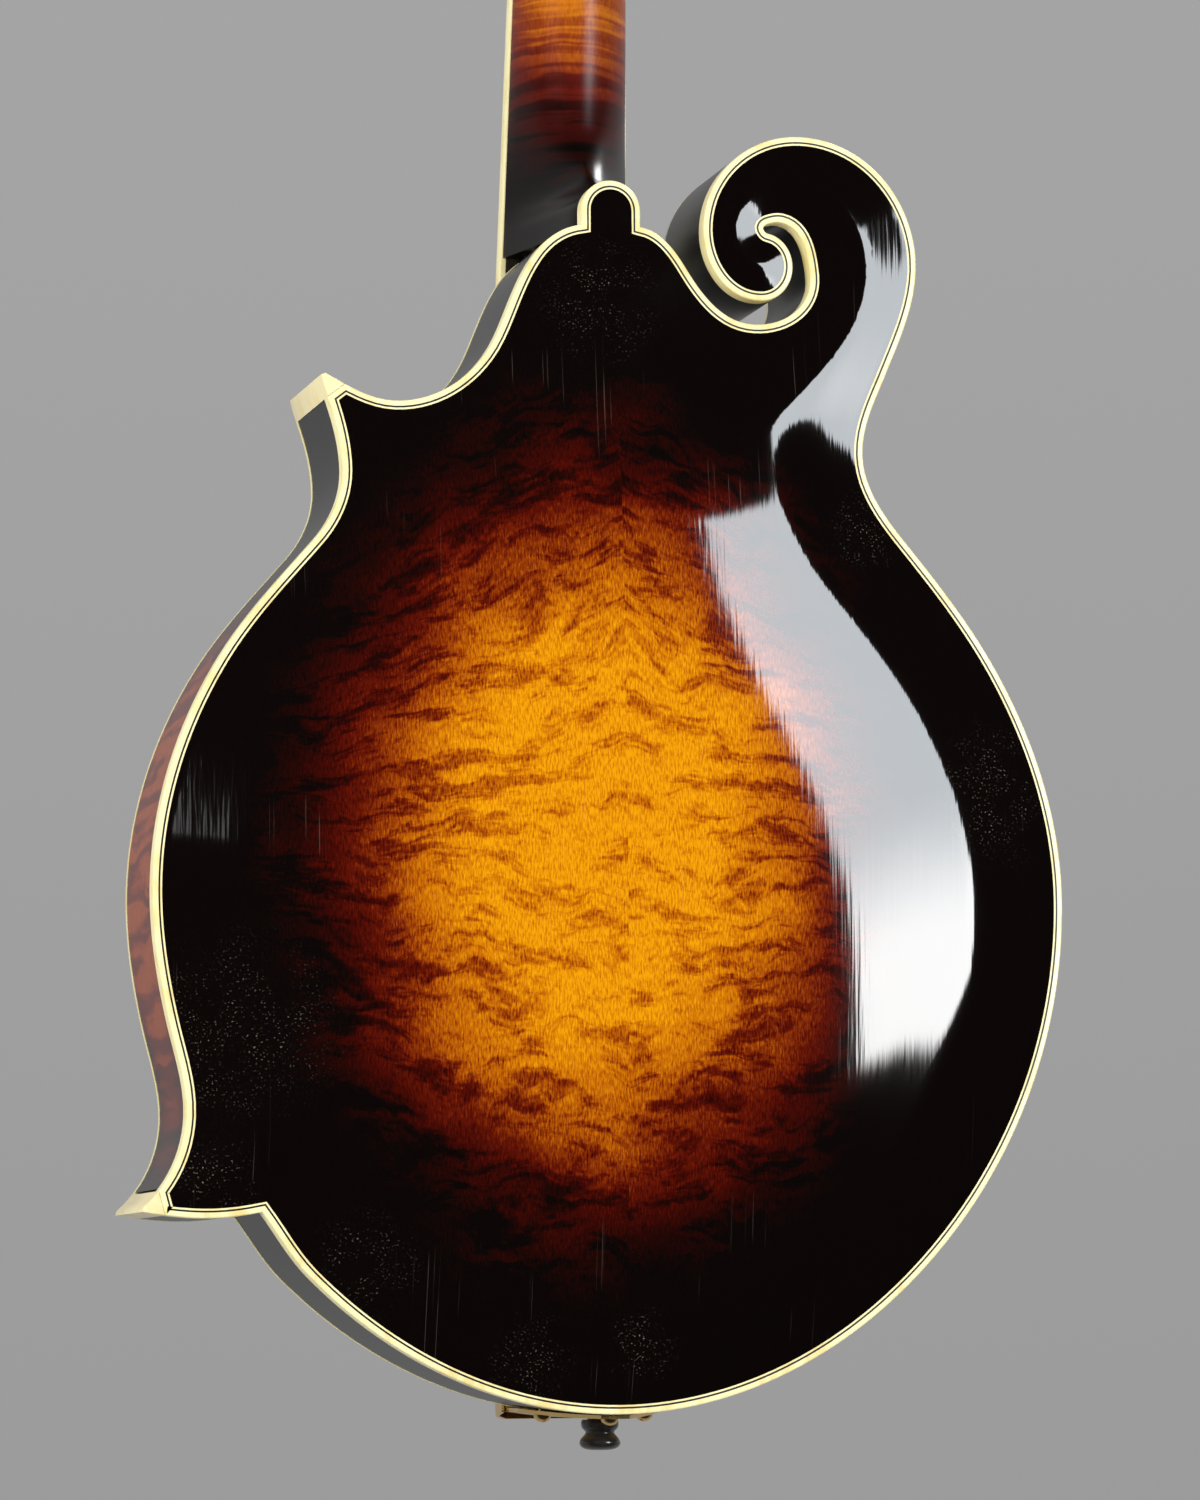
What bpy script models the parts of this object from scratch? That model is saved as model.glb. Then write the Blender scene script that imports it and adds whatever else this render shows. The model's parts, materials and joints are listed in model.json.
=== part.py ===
"""F-style mandolin: a carved body with a scroll and two points, a dovetailed
neck, worm tuners on plates, an adjustable bridge and a stamped tailpiece.

Every piece is modelled flat on the bench, with the soundboard up:
X points to the treble side, Y from the end pin up the neck, Z out of the
soundboard. The bench frame is then stood up, so that in the world +Z runs
up the neck and the carved back faces +Y. The origin is the flat outer face
of the end pin.
"""

import math

import bmesh
import bpy
import numpy as np
from mathutils import Matrix, Vector
from mathutils.geometry import delaunay_2d_cdt

MM = 0.001
GAP = 0.3 * MM                       # glue line or running clearance between two pieces

# Body, read from the back: bouts, waist, points, scroll and heel button
BOUT_HALF_WIDTH = 127.0 * MM
BOUT_WIDEST_Y = 139.0 * MM
BOUT_CORNER = (84.3 * MM, 37.0 * MM)
RIM_DEPTH = 44.0 * MM                # over both plates' edges
BACK_EDGE = 5.0 * MM                 # back plate and its binding at the edge
TOP_EDGE = 2.0 * MM                  # soundboard and its binding at the edge
BACK_ARCH = 13.0 * MM
TOP_ARCH = 15.0 * MM
ARCH_INSET = 72.0 * MM               # smoothed inset at which the dome is full
RIDGE_HEIGHT = 3.4 * MM              # rise of the edge carving beyond the recurve
RIDGE_START = 6.5 * MM
RIDGE_END = 19.0 * MM
RECURVE_DEPTH = 0.8 * MM
RECURVE_START = 3.0 * MM
BACK_PLATE_THICKNESS = 4.5 * MM
TOP_PLATE_THICKNESS = 4.5 * MM
BINDING_WIDTH = 1.5 * MM
RIB_THICKNESS = 2.0 * MM
LINING_WIDTH = 5.0 * MM
LINING_HEIGHT = 8.0 * MM
TONE_BAR_START = 62.0 * MM
TONE_BAR_CLEAR = 3.0 * MM            # from a bar's end to the head block
TONE_BAR_X = 24.0 * MM
TONE_BAR_LEAN = 4.0 * MM             # how much further apart the bars stand at the tail
TONE_BAR_WIDTH = 6.0 * MM
TONE_BAR_DEPTH = 14.0 * MM
TONE_BAR_GLUE = 0.75 * MM            # under the hollow's curve, clear of its facets
TAIL_BLOCK_HALF_WIDTH = 26.0 * MM
TAIL_BLOCK_END = 17.0 * MM
BUTTON_RADIUS = 8.3 * MM
BUTTON_CENTRE_Y = 326.8 * MM
SHOULDER_Y = 322.5 * MM
WAIST_TREBLE = (74.9 * MM, 252.5 * MM)
WAIST_BASS = (-71.1 * MM, 261.5 * MM)
UPPER_TIP = (80.2 * MM, 278.4 * MM)
LOWER_TIP = (129.0 * MM, 54.7 * MM)
TIP_BLUNT = 0.6 * MM                 # half width of a point's blunt end
LOWER_NOTCH = (97.0 * MM, 54.0 * MM)
SLOT_TIP = (-44.6 * MM, 323.6 * MM)
SLOT_TIP_RADIUS = 1.3 * MM
SCROLL_TOP = (-54.0 * MM, 349.8 * MM)
POINT_CAP_LENGTH = 5.5 * MM
UPPER_BLOCK_ENDS = ((74.5 * MM, 246.0 * MM), (50.0 * MM, 273.0 * MM))
LOWER_BLOCK_ENDS = ((99.0 * MM, 56.0 * MM), (117.0 * MM, 86.0 * MM))
HEAD_BLOCK_CORNER = (38.0 * MM, 276.0 * MM)
BASS_LINING_ENDS = ((-75.0 * MM, 251.0 * MM), (-36.0 * MM, 4.0 * MM))
TREBLE_LINING_ENDS = ((36.0 * MM, 4.0 * MM), (79.0 * MM, 238.0 * MM))
OUTER_ROWS = ((1.6 * MM, 11.0 * MM), (5.5 * MM, 12.0 * MM), (11.0 * MM, 13.0 * MM), (18.0 * MM, 15.0 * MM))
INNER_ROWS = ((8.0 * MM, 18.0 * MM), (20.0 * MM, 24.0 * MM))
OUTER_GRID = (21.0 * MM, 27.0 * MM)  # spacing of the carving's facets, and where their grid starts
INNER_GRID = (32.0 * MM, 34.0 * MM)
ARC_ERROR = 0.36 * MM                # how far a chord may leave its arc

# Neck, fingerboard and headstock
SCALE_LENGTH = 352.4 * MM
JOINT_FRET = 15
JOINT_Y = 331.5 * MM
NECK_ANGLE = math.radians(5.7)
BOARD_LIFT = 8.0 * MM                # underside of the board over the rim at the joint
BOARD_THICKNESS = 5.6 * MM
BOARD_TAPER = 0.0215                 # half width gained per length
BOARD_LENGTH = 262.0 * MM
FRET_COUNT = 22
FRET_HEIGHT = 1.1 * MM
FRET_WIDTH = 1.6 * MM
NUT_WIDTH = 27.0 * MM
NUT_LENGTH = 4.5 * MM
HEEL_HALF_WIDTH = 8.0 * MM
TENON_LENGTH = 17.0 * MM
TENON_ROOT = 5.4 * MM                # half widths of the dovetail at the heel and at its end
TENON_END = 8.0 * MM
EXTENSION_INSET = 5.0 * MM           # neck's extension inside the board's edge, over the soundboard
SHAFT_DEPTH_NUT = 14.0 * MM
SHAFT_DEPTH_HEEL = 17.0 * MM
HEAD_ANGLE = math.radians(14.0)
HEAD_THICKNESS = 14.0 * MM
HEAD_LENGTH = 158.0 * MM
HEAD_HALF_WIDTH = 35.0 * MM
VENEER_THICKNESS = 1.7 * MM
TRUSS_ROD_RADIUS = 2.4 * MM

# Worm tuners, four on a plate
POST_COUNT = 4
POST_SPACING = 23.0 * MM
FIRST_POST_Y = 27.0 * MM
POST_X = 23.0 * MM
POST_RADIUS = 3.0 * MM
POST_HEIGHT = 11.0 * MM              # above the face of the headstock
POST_WAIST = 2.4 * MM
WAIST_SHARES = (0.26, 0.74)          # where a post's waist starts and ends, as shares of its height
WORM_TURNS = 3
WORM_LEAD = 2.2 * MM
WORM_STEPS = 8                       # points round the worm
WORM_ROOT = 1.3 * MM
WORM_CREST = 2.7 * MM
WORM_CREST_WIDTH = 0.45 * MM
WORM_ROOT_WIDTH = 1.15 * MM
WORM_SHAFT = 1.1 * MM
GEAR_TEETH = 16
GEAR_ROOT = 4.6 * MM
GEAR_CREST = 6.2 * MM
GEAR_WIDTH = 2.4 * MM
CREST_SHARE = 0.23                   # share of a tooth's pitch that its crest takes
TUNER_PLATE_THICKNESS = 1.2 * MM
TUNER_PLATE_WIDTH = 15.5 * MM
TUNER_PLATE_END = 14.0 * MM
EAR_THICKNESS = 1.3 * MM
EAR_WIDTH = 5.6 * MM
KNOB_START = 43.0 * MM               # from the centreline to the knob's collar
KNOB_LENGTH = 13.0 * MM
KNOB_HALF_WIDTH = 8.2 * MM
KNOB_HALF_DEPTH = 3.9 * MM
BUSHING_WALL = 1.0 * MM
SCREW_RADIUS = 1.4 * MM

# Bridge
BRIDGE_LENGTH = 112.0 * MM
BRIDGE_BASE_WIDTH = 11.0 * MM
BRIDGE_BASE_HEIGHT = 6.0 * MM
BRIDGE_WHEEL_LIFT = 2.2 * MM         # wheel above the base, as it is set
BRIDGE_WHEEL_RADIUS = 6.0 * MM
BRIDGE_WHEEL_THICKNESS = 2.0 * MM
BRIDGE_STUD_X = 27.0 * MM
BRIDGE_STUD_RADIUS = 2.0 * MM
SADDLE_LENGTH = 70.0 * MM
SADDLE_WIDTH = 8.0 * MM
SADDLE_CREST_WIDTH = 2.6 * MM
SADDLE_TRAVEL = 1.8 * MM             # how far the saddle can be let down
SADDLE_ROOF = 2.1 * MM               # wood over a stud's bore

# Tailpiece and end pin
TAIL_WIDTH = 41.0 * MM
TAIL_SIDE = 14.0 * MM                # height of the face's full width
TAIL_TAPER = (12.0 * MM, 28.0 * MM)  # half width and depth where the face has narrowed
TAIL_FOOT = (4.0 * MM, 3.5 * MM)     # half width of the foot, and its height over the back's edge
TAIL_SCREWS = ((-14.3 * MM, 7.0 * MM), (14.3 * MM, 7.0 * MM), (0.0, -10.5 * MM))
TAIL_SHEET = 1.0 * MM
TAIL_REACH = 62.0 * MM
TAIL_RISE = math.radians(10.5)
TAIL_LIFT = 1.2 * MM                 # how far the sheet stands over the rim where it bends
COVER_HEIGHT = 11.0 * MM
COVER_WALL = 0.8 * MM
PIN_LENGTH = 8.2 * MM
PIN_RADIUS = 5.6 * MM
PIN_COLLAR_RADIUS = 5.1 * MM
PIN_WAIST_RADIUS = 3.9 * MM
PIN_TIP_RADIUS = 3.0 * MM            # flat end of the pin
PIN_SHANK_RADIUS = 3.4 * MM
PIN_SHANK_LENGTH = 24.0 * MM

# Strings: diameter, place at the nut, and the post that each winds on
STRING_ACTION_NUT = 0.6 * MM
STRING_ACTION_TWELFTH = 1.6 * MM
STRING_GAUGES = {"g": 1.0 * MM, "d": 0.66 * MM, "a": 0.42 * MM, "e": 0.32 * MM}
NUT_COURSE_X = (10.5 * MM, 3.5 * MM)
NUT_PAIR_HALF = 1.1 * MM
SADDLE_COURSE_X = (19.0 * MM, 6.4 * MM)
SADDLE_PAIR_HALF = 1.4 * MM
HOOK_COURSE_X = (12.6 * MM, 4.2 * MM)
HOOK_PAIR_HALF = 1.9 * MM
HOOK_Y = 22.0 * MM
HOOK_LIFT = 2.4 * MM                 # string's underside over the sheet at its hook
HOOK_SIZE = 1.6 * MM
WIND_TURNS = 2
WIND_STEPS = 8
WIND_GAP = 0.55 * MM                 # least gap between two turns on a post

# Bench frame: the body starts above the end pin and the tailpiece's sheet
BODY_START = PIN_LENGTH + TAIL_SHEET + 2 * GAP
BACK_Z = -RIM_DEPTH / 2
TOP_Z = RIM_DEPTH / 2
TAIL_RADIUS = math.hypot(*BOUT_CORNER) / (2 * math.sin(math.pi / 8))
RIB_LOW = BACK_Z + BACK_EDGE + GAP
RIB_HIGH = TOP_Z - TOP_EDGE - GAP

BENCH = Matrix.Rotation(math.radians(90), 4, "X")
BODY = BENCH @ Matrix.Translation((0, BODY_START, 0))
JOINT_LENGTH = SCALE_LENGTH * (1 - 2 ** (-JOINT_FRET / 12))
NUT_Y = JOINT_Y + JOINT_LENGTH * math.cos(NECK_ANGLE)
NUT_Z = TOP_Z + BOARD_LIFT - JOINT_LENGTH * math.sin(NECK_ANGLE)
NECK = Matrix.Translation((0, NUT_Y, NUT_Z)) @ Matrix.Rotation(-NECK_ANGLE, 4, "X")
HEAD = NECK @ Matrix.Translation((0, NUT_LENGTH + GAP, 0)) @ Matrix.Rotation(-HEAD_ANGLE, 4, "X")

WOOD_AMBER = ((0.62, 0.30, 0.06), 0.25, 0.0)
WOOD_DARK = ((0.045, 0.014, 0.008), 0.22, 0.0)
WOOD_RAW = ((0.70, 0.52, 0.32), 0.7, 0.0)
EBONY = ((0.02, 0.018, 0.017), 0.4, 0.0)
IVOROID = ((0.90, 0.82, 0.55), 0.35, 0.0)
BONE = ((0.90, 0.87, 0.78), 0.4, 0.0)
GOLD = ((0.83, 0.61, 0.28), 0.25, 1.0)
STEEL = ((0.62, 0.62, 0.63), 0.3, 1.0)
BRONZE = ((0.72, 0.48, 0.26), 0.35, 1.0)


class Workshop:
    """Collections, frames and materials that the pieces share."""

    def __init__(self):
        for old in list(bpy.data.objects):
            bpy.data.objects.remove(old, do_unlink=True)
        self.pieces = bpy.data.collections.new("f_style_mandolin")
        self.cutters = bpy.data.collections.new("cutters")
        bpy.context.scene.collection.children.link(self.pieces)
        bpy.context.scene.collection.children.link(self.cutters)
        self.body = self.frame("body_frame", BODY)
        self.neck = self.frame("neck_frame", BODY @ NECK)
        self.head = self.frame("headstock_frame", BODY @ HEAD)

    def frame(self, name, matrix):
        """Empty that stands for a local frame."""
        empty = bpy.data.objects.new(name, None)
        empty.matrix_world = matrix
        self.pieces.objects.link(empty)
        return empty

    def material(self, name, finish):
        """Principled material of one piece."""
        colour, roughness, metallic = finish
        material = bpy.data.materials.new(name)
        material.use_nodes = True
        shader = material.node_tree.nodes["Principled BSDF"]
        shader.inputs["Base Color"].default_value = (*colour, 1)
        shader.inputs["Roughness"].default_value = roughness
        shader.inputs["Metallic"].default_value = metallic
        return material

    def add(self, name, data, parent, finish, place=(0, 0, 0)):
        """Object with its material, standing at a place in its parent frame."""
        piece = bpy.data.objects.new(name, data)
        piece.parent = parent
        piece.location = place
        if not data.materials:
            data.materials.append(self.material(name, finish))
        self.pieces.objects.link(piece)
        return piece

    def cutter(self, name, data, parent, place=(0, 0, 0)):
        """Hidden object for a Boolean."""
        tool = bpy.data.objects.new(name, data)
        tool.parent = parent
        tool.location = place
        tool.hide_render = True
        tool.display_type = "WIRE"
        self.cutters.objects.link(tool)
        return tool


def boolean(piece, tool, operation):
    """Add an exact Boolean modifier."""
    modifier = piece.modifiers.new(tool.name, "BOOLEAN")
    modifier.object = tool
    modifier.operation = operation
    modifier.solver = "EXACT"
    return modifier


def finished_mesh(piece, name):
    """Mesh of a piece as its modifiers leave it, with loose caps welded."""
    graph = bpy.context.evaluated_depsgraph_get()
    mesh = bpy.data.meshes.new_from_object(piece.evaluated_get(graph), depsgraph=graph)
    mesh.name = name
    work = bmesh.new()
    work.from_mesh(mesh)
    bmesh.ops.remove_doubles(work, verts=work.verts, dist=0.005 * MM)
    work.to_mesh(mesh)
    work.free()
    return mesh


def mesh_from(work, name):
    """Closed bmesh turned into a mesh with its faces outward."""
    bmesh.ops.recalc_face_normals(work, faces=work.faces)
    mesh = bpy.data.meshes.new(name)
    work.to_mesh(mesh)
    work.free()
    return mesh


def slab(name, loops, low, high):
    """Flat outline, with holes, of a given thickness."""
    curve = bpy.data.curves.new(name, "CURVE")
    curve.dimensions = "2D"
    curve.fill_mode = "BOTH"
    curve.extrude = (high - low) / 2
    for loop in loops:
        spline = curve.splines.new("POLY")
        spline.points.add(len(loop) - 1)
        for point, (x, y) in zip(spline.points, loop):
            point.co = (x, y, 0, 1)
        spline.use_cyclic_u = True
    return curve


def slab_mesh(name, loops, low, high):
    """Slab as a welded mesh whose height is in the mesh, ready for a Boolean."""
    holder = bpy.data.objects.new(name, slab(name, loops, low, high))
    bpy.context.scene.collection.objects.link(holder)
    mesh = finished_mesh(holder, name)
    bpy.data.objects.remove(holder, do_unlink=True)
    mesh.transform(Matrix.Translation((0, 0, (low + high) / 2)))
    return mesh


def loft(name, rings):
    """Closed skin over rings that have the same number of points."""
    work = bmesh.new()
    rows = [[work.verts.new(point) for point in ring] for ring in rings]
    count = len(rows[0])
    for first, second in zip(rows, rows[1:]):
        for i in range(count):
            j = (i + 1) % count
            work.faces.new((first[i], first[j], second[j], second[i]))
    work.faces.new(rows[0])
    work.faces.new(rows[-1])
    return mesh_from(work, name)


def circle(radius, count, x=0.0, y=0.0, turn=0.0):
    """Points round a circle."""
    angles = [turn + 2 * math.pi * i / count for i in range(count)]
    return [(x + radius * math.cos(a), y + radius * math.sin(a)) for a in angles]


def turned(name, profile, count):
    """Solid turned about Z from a profile of radius and height."""
    return loft(name, [[(x, y, z) for x, y in circle(r, count)] for r, z in profile])


def tube_ring(name, inner, outer, low, high, count):
    """Washer or bushing."""
    work = bmesh.new()
    corners = [(inner, low), (outer, low), (outer, high), (inner, high)]
    rows = [[work.verts.new((x, y, z)) for x, y in circle(r, count)] for r, z in corners]
    for k in range(4):
        for i in range(count):
            j = (i + 1) % count
            work.faces.new((rows[k][i], rows[k][j], rows[(k + 1) % 4][j], rows[(k + 1) % 4][i]))
    return mesh_from(work, name)


def box_mesh(name, low, high):
    """Box between two corners."""
    work = bmesh.new()
    bmesh.ops.create_cube(work, size=1)
    size = [b - a for a, b in zip(low, high)]
    middle = [(a + b) / 2 for a, b in zip(low, high)]
    bmesh.ops.scale(work, vec=size, verts=work.verts)
    bmesh.ops.translate(work, vec=middle, verts=work.verts)
    return mesh_from(work, name)


def joined(name, meshes):
    """Several separate solids in one mesh."""
    work = bmesh.new()
    for mesh in meshes:
        work.from_mesh(mesh)
    result = bpy.data.meshes.new(name)
    work.to_mesh(result)
    work.free()
    return result


def placed(mesh, matrix):
    """Copy of a mesh moved by a matrix."""
    copy = mesh.copy()
    copy.transform(matrix)
    return copy


def tube(name, points, radius, resolution=1):
    """Wire along points, with filled ends."""
    curve = bpy.data.curves.new(name, "CURVE")
    curve.dimensions = "3D"
    curve.bevel_depth = radius
    curve.bevel_resolution = resolution
    curve.use_fill_caps = True
    spline = curve.splines.new("POLY")
    spline.points.add(len(points) - 1)
    for point, place in zip(spline.points, points):
        point.co = (*place, 1)
    return curve


def arc_span(start, end, error=ARC_ERROR):
    """Cubic from one knot to the next, bent like an arc, in chords that stay close to it.

    A knot is (x, y, heading in degrees).
    """
    (x0, y0, h0), (x1, y1, h1) = start, end
    turn = math.radians((h1 - h0 + 180) % 360 - 180)
    chord = math.hypot(x1 - x0, y1 - y0)
    handle = chord / (3 * math.cos(turn / 4) ** 2)
    a0, a1 = math.radians(h0), math.radians(h1)
    control = [(x0, y0), (x0 + handle * math.cos(a0), y0 + handle * math.sin(a0)),
               (x1 - handle * math.cos(a1), y1 - handle * math.sin(a1)), (x1, y1)]
    radius = chord / max(abs(turn), 0.02)
    steps = max(1, math.ceil(abs(turn) / (2 * math.sqrt(2 * error / radius))))
    points = []
    for k in range(steps):
        t = k / steps
        weights = ((1 - t) ** 3, 3 * t * (1 - t) ** 2, 3 * t * t * (1 - t), t ** 3)
        points.append(tuple(sum(w * c[i] for w, c in zip(weights, control)) for i in (0, 1)))
    return points


def path(spans, closed=True):
    """Points along runs of knots; a new run starts at each corner."""
    points = []
    for run in spans:
        for start, end in zip(run, run[1:]):
            points += arc_span(start, end)
        if run is not spans[-1] and math.dist(run[-1][:2], spans[spans.index(run) + 1][0][:2]) > 1e-7:
            points.append(run[-1][:2])
    if not closed or math.dist(spans[-1][-1][:2], spans[0][0][:2]) > 1e-7:
        points.append(spans[-1][-1][:2])
    return points


def body_spans():
    """Runs of knots round the body, anticlockwise from the heel button's right foot."""
    foot = BUTTON_RADIUS
    bx, by = BOUT_HALF_WIDTH, BOUT_WIDEST_Y
    cx, cy = BOUT_CORNER
    ux, uy = UPPER_TIP
    lx, ly = LOWER_TIP
    sx, sy = SLOT_TIP
    r = SLOT_TIP_RADIUS
    tx, ty = SCROLL_TOP
    button = [(foot, SHOULDER_Y, 90), (foot, BUTTON_CENTRE_Y, 90),
              (0, BUTTON_CENTRE_Y + foot, 180), (-foot, BUTTON_CENTRE_Y, 270),
              (-foot, SHOULDER_Y, 270)]
    scroll = [(-foot, SHOULDER_Y, 188), (-20.9 * MM, 312.0 * MM, 238), (-38.5 * MM, 296.9 * MM, 187),
              (-56.6 * MM, 311.0 * MM, 85), (sx - 4 * MM, sy + 1.9 * MM, 10), (sx, sy + r, -20),
              (sx + r * 0.9, sy - r * 0.2, -115), (sx, sy - r, 190), (-51.6 * MM, 314.2 * MM, 265),
              (-42.6 * MM, 303.4 * MM, 358), (-26.2 * MM, 322.5 * MM, 90), (tx, ty, 180),
              (-87.2 * MM, 317.0 * MM, 267), (-78.0 * MM, 284.0 * MM, 293), (*WAIST_BASS, 269),
              (-83.0 * MM, 237.6 * MM, 230), (-109.0 * MM, 202.2 * MM, 240.5), (-bx, by, 270),
              (-cx, cy, 315), (0, 0, 0), (cx, cy, 45), (*LOWER_NOTCH, 53)]
    lower_point = [(*LOWER_NOTCH, -12), (lx - 16 * MM, ly - 2.3 * MM, 1), (lx, ly - TIP_BLUNT, 10)]
    side = [(lx - 0.3 * MM, ly + TIP_BLUNT, 139), (117.3 * MM, 79.5 * MM, 92), (121.6 * MM, 103.0 * MM, 76.5),
            (bx - 0.6 * MM, by, 90), (108.0 * MM, 202.0 * MM, 121.5), (82.4 * MM, 234.0 * MM, 131),
            (*WAIST_TREBLE, 90), (77.2 * MM, 266.8 * MM, 74), (ux + TIP_BLUNT, uy, 76)]
    cutaway = [(ux - TIP_BLUNT, uy + 0.5 * MM, 208), (60.5 * MM, 272.0 * MM, 180), (35.5 * MM, 285.6 * MM, 126),
               (28.5 * MM, 300.0 * MM, 112), (21.3 * MM, 314.2 * MM, 126), (foot, SHOULDER_Y, 172)]
    return [button, scroll, lower_point, side, cutaway]


def clearance(points, loop):
    """Distance from each point to a closed loop."""
    points = np.asarray(points, float)[:, None, :]
    start = np.asarray(loop, float)
    run = np.roll(start, -1, axis=0) - start
    share = ((points - start) * run).sum(-1) / np.maximum((run ** 2).sum(-1), 1e-18)
    nearest = start + np.clip(share, 0, 1)[..., None] * run
    return np.sqrt(((points - nearest) ** 2).sum(-1)).min(axis=1)


def smooth_inset(points, loop):
    """Inset from the loop without a crease on its middle line.

    Each stretch of the loop pulls with the inverse cube of its distance, which gives the
    plain distance near a straight edge and a smooth dome far inside.
    """
    points = np.asarray(points, float)[:, None, :]
    start = np.asarray(loop, float)
    run = np.roll(start, -1, axis=0) - start
    length = np.sqrt((run ** 2).sum(-1))
    unit = run / length[:, None]
    offset = points - start
    along = (offset * unit).sum(-1)
    across = np.maximum(np.abs(offset[..., 0] * unit[:, 1] - offset[..., 1] * unit[:, 0]), 1e-5)
    far = length - along
    pull = (far / np.hypot(far, across) + along / np.hypot(along, across)) / across ** 2
    return np.sqrt(2 / pull.sum(axis=1))


def inside(points, loop):
    """Whether each point lies in the loop."""
    points = np.asarray(points, float)
    x, y = points[:, 0][:, None], points[:, 1][:, None]
    a = np.asarray(loop, float)
    b = np.roll(a, -1, axis=0)
    crosses = (a[:, 1] > y) != (b[:, 1] > y)
    rise = np.where(b[:, 1] == a[:, 1], 1e-12, b[:, 1] - a[:, 1])
    hits = crosses & (x < (b[:, 0] - a[:, 0]) * (y - a[:, 1]) / rise + a[:, 0])
    return hits.sum(axis=1) % 2 == 1


def inset(loop, distance, spacing=0.6 * MM):
    """Loop moved inwards, without the stretches that would cross at a tight corner."""
    points = np.asarray(loop, float)
    edge = np.roll(points, -1, axis=0) - points
    edge /= np.sqrt((edge ** 2).sum(-1))[:, None]
    normal = np.c_[-edge[:, 1], edge[:, 0]]
    before = np.roll(normal, 1, axis=0)
    mitre = (normal + before) / (1 + (normal * before).sum(-1))[:, None]
    moved = points + mitre * distance
    kept = moved[clearance(moved, points) > distance * 0.985]
    result = [kept[0]]
    for point in kept[1:]:
        if math.dist(point, result[-1]) > spacing:
            result.append(point)
    return [tuple(p) for p in result]


def nearest_index(loop, place):
    """Index of the loop's point that is nearest to a place."""
    return min(range(len(loop)), key=lambda i: math.dist(loop[i], place))


def crossing(a, b, origin, normal):
    """Where the segment a-b meets the line through origin."""
    da = (a[0] - origin[0]) * normal[0] + (a[1] - origin[1]) * normal[1]
    db = (b[0] - origin[0]) * normal[0] + (b[1] - origin[1]) * normal[1]
    t = da / (da - db)
    return (a[0] + (b[0] - a[0]) * t, a[1] + (b[1] - a[1]) * t)


def cut_tip(loop, tip, heading, depth):
    """Cut a point's tip off the loop: the shortened loop, and the tip's own outline."""
    normal = (math.cos(math.radians(heading)), math.sin(math.radians(heading)))
    origin = (tip[0] - normal[0] * depth, tip[1] - normal[1] * depth)

    def beyond(point):
        return (point[0] - origin[0]) * normal[0] + (point[1] - origin[1]) * normal[1] > 0

    middle = nearest_index(loop, tip)
    first = last = middle
    while beyond(loop[first - 1]):
        first -= 1
    while beyond(loop[(last + 1) % len(loop)]):
        last += 1
    start = crossing(loop[first - 1], loop[first], origin, normal)
    end = crossing(loop[last], loop[(last + 1) % len(loop)], origin, normal)
    tip_points = [start] + [loop[i % len(loop)] for i in range(first, last + 1)] + [end]
    kept = [loop[i % len(loop)] for i in range(last + 1, first + len(loop))]
    shift = (normal[0] * GAP, normal[1] * GAP)
    cap = [crossing_shift(tip_points, 0, 1, shift, normal)] + tip_points[1:-1]
    cap.append(crossing_shift(tip_points, -1, -2, shift, normal))
    return kept + [start, end], cap


def crossing_shift(points, index, neighbour, shift, normal):
    """Point of the tip's outline moved on along its own edge by the glue gap."""
    a, b = points[index], points[neighbour]
    origin = (a[0] + shift[0], a[1] + shift[1])
    return crossing(a, b, origin, normal)


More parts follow.
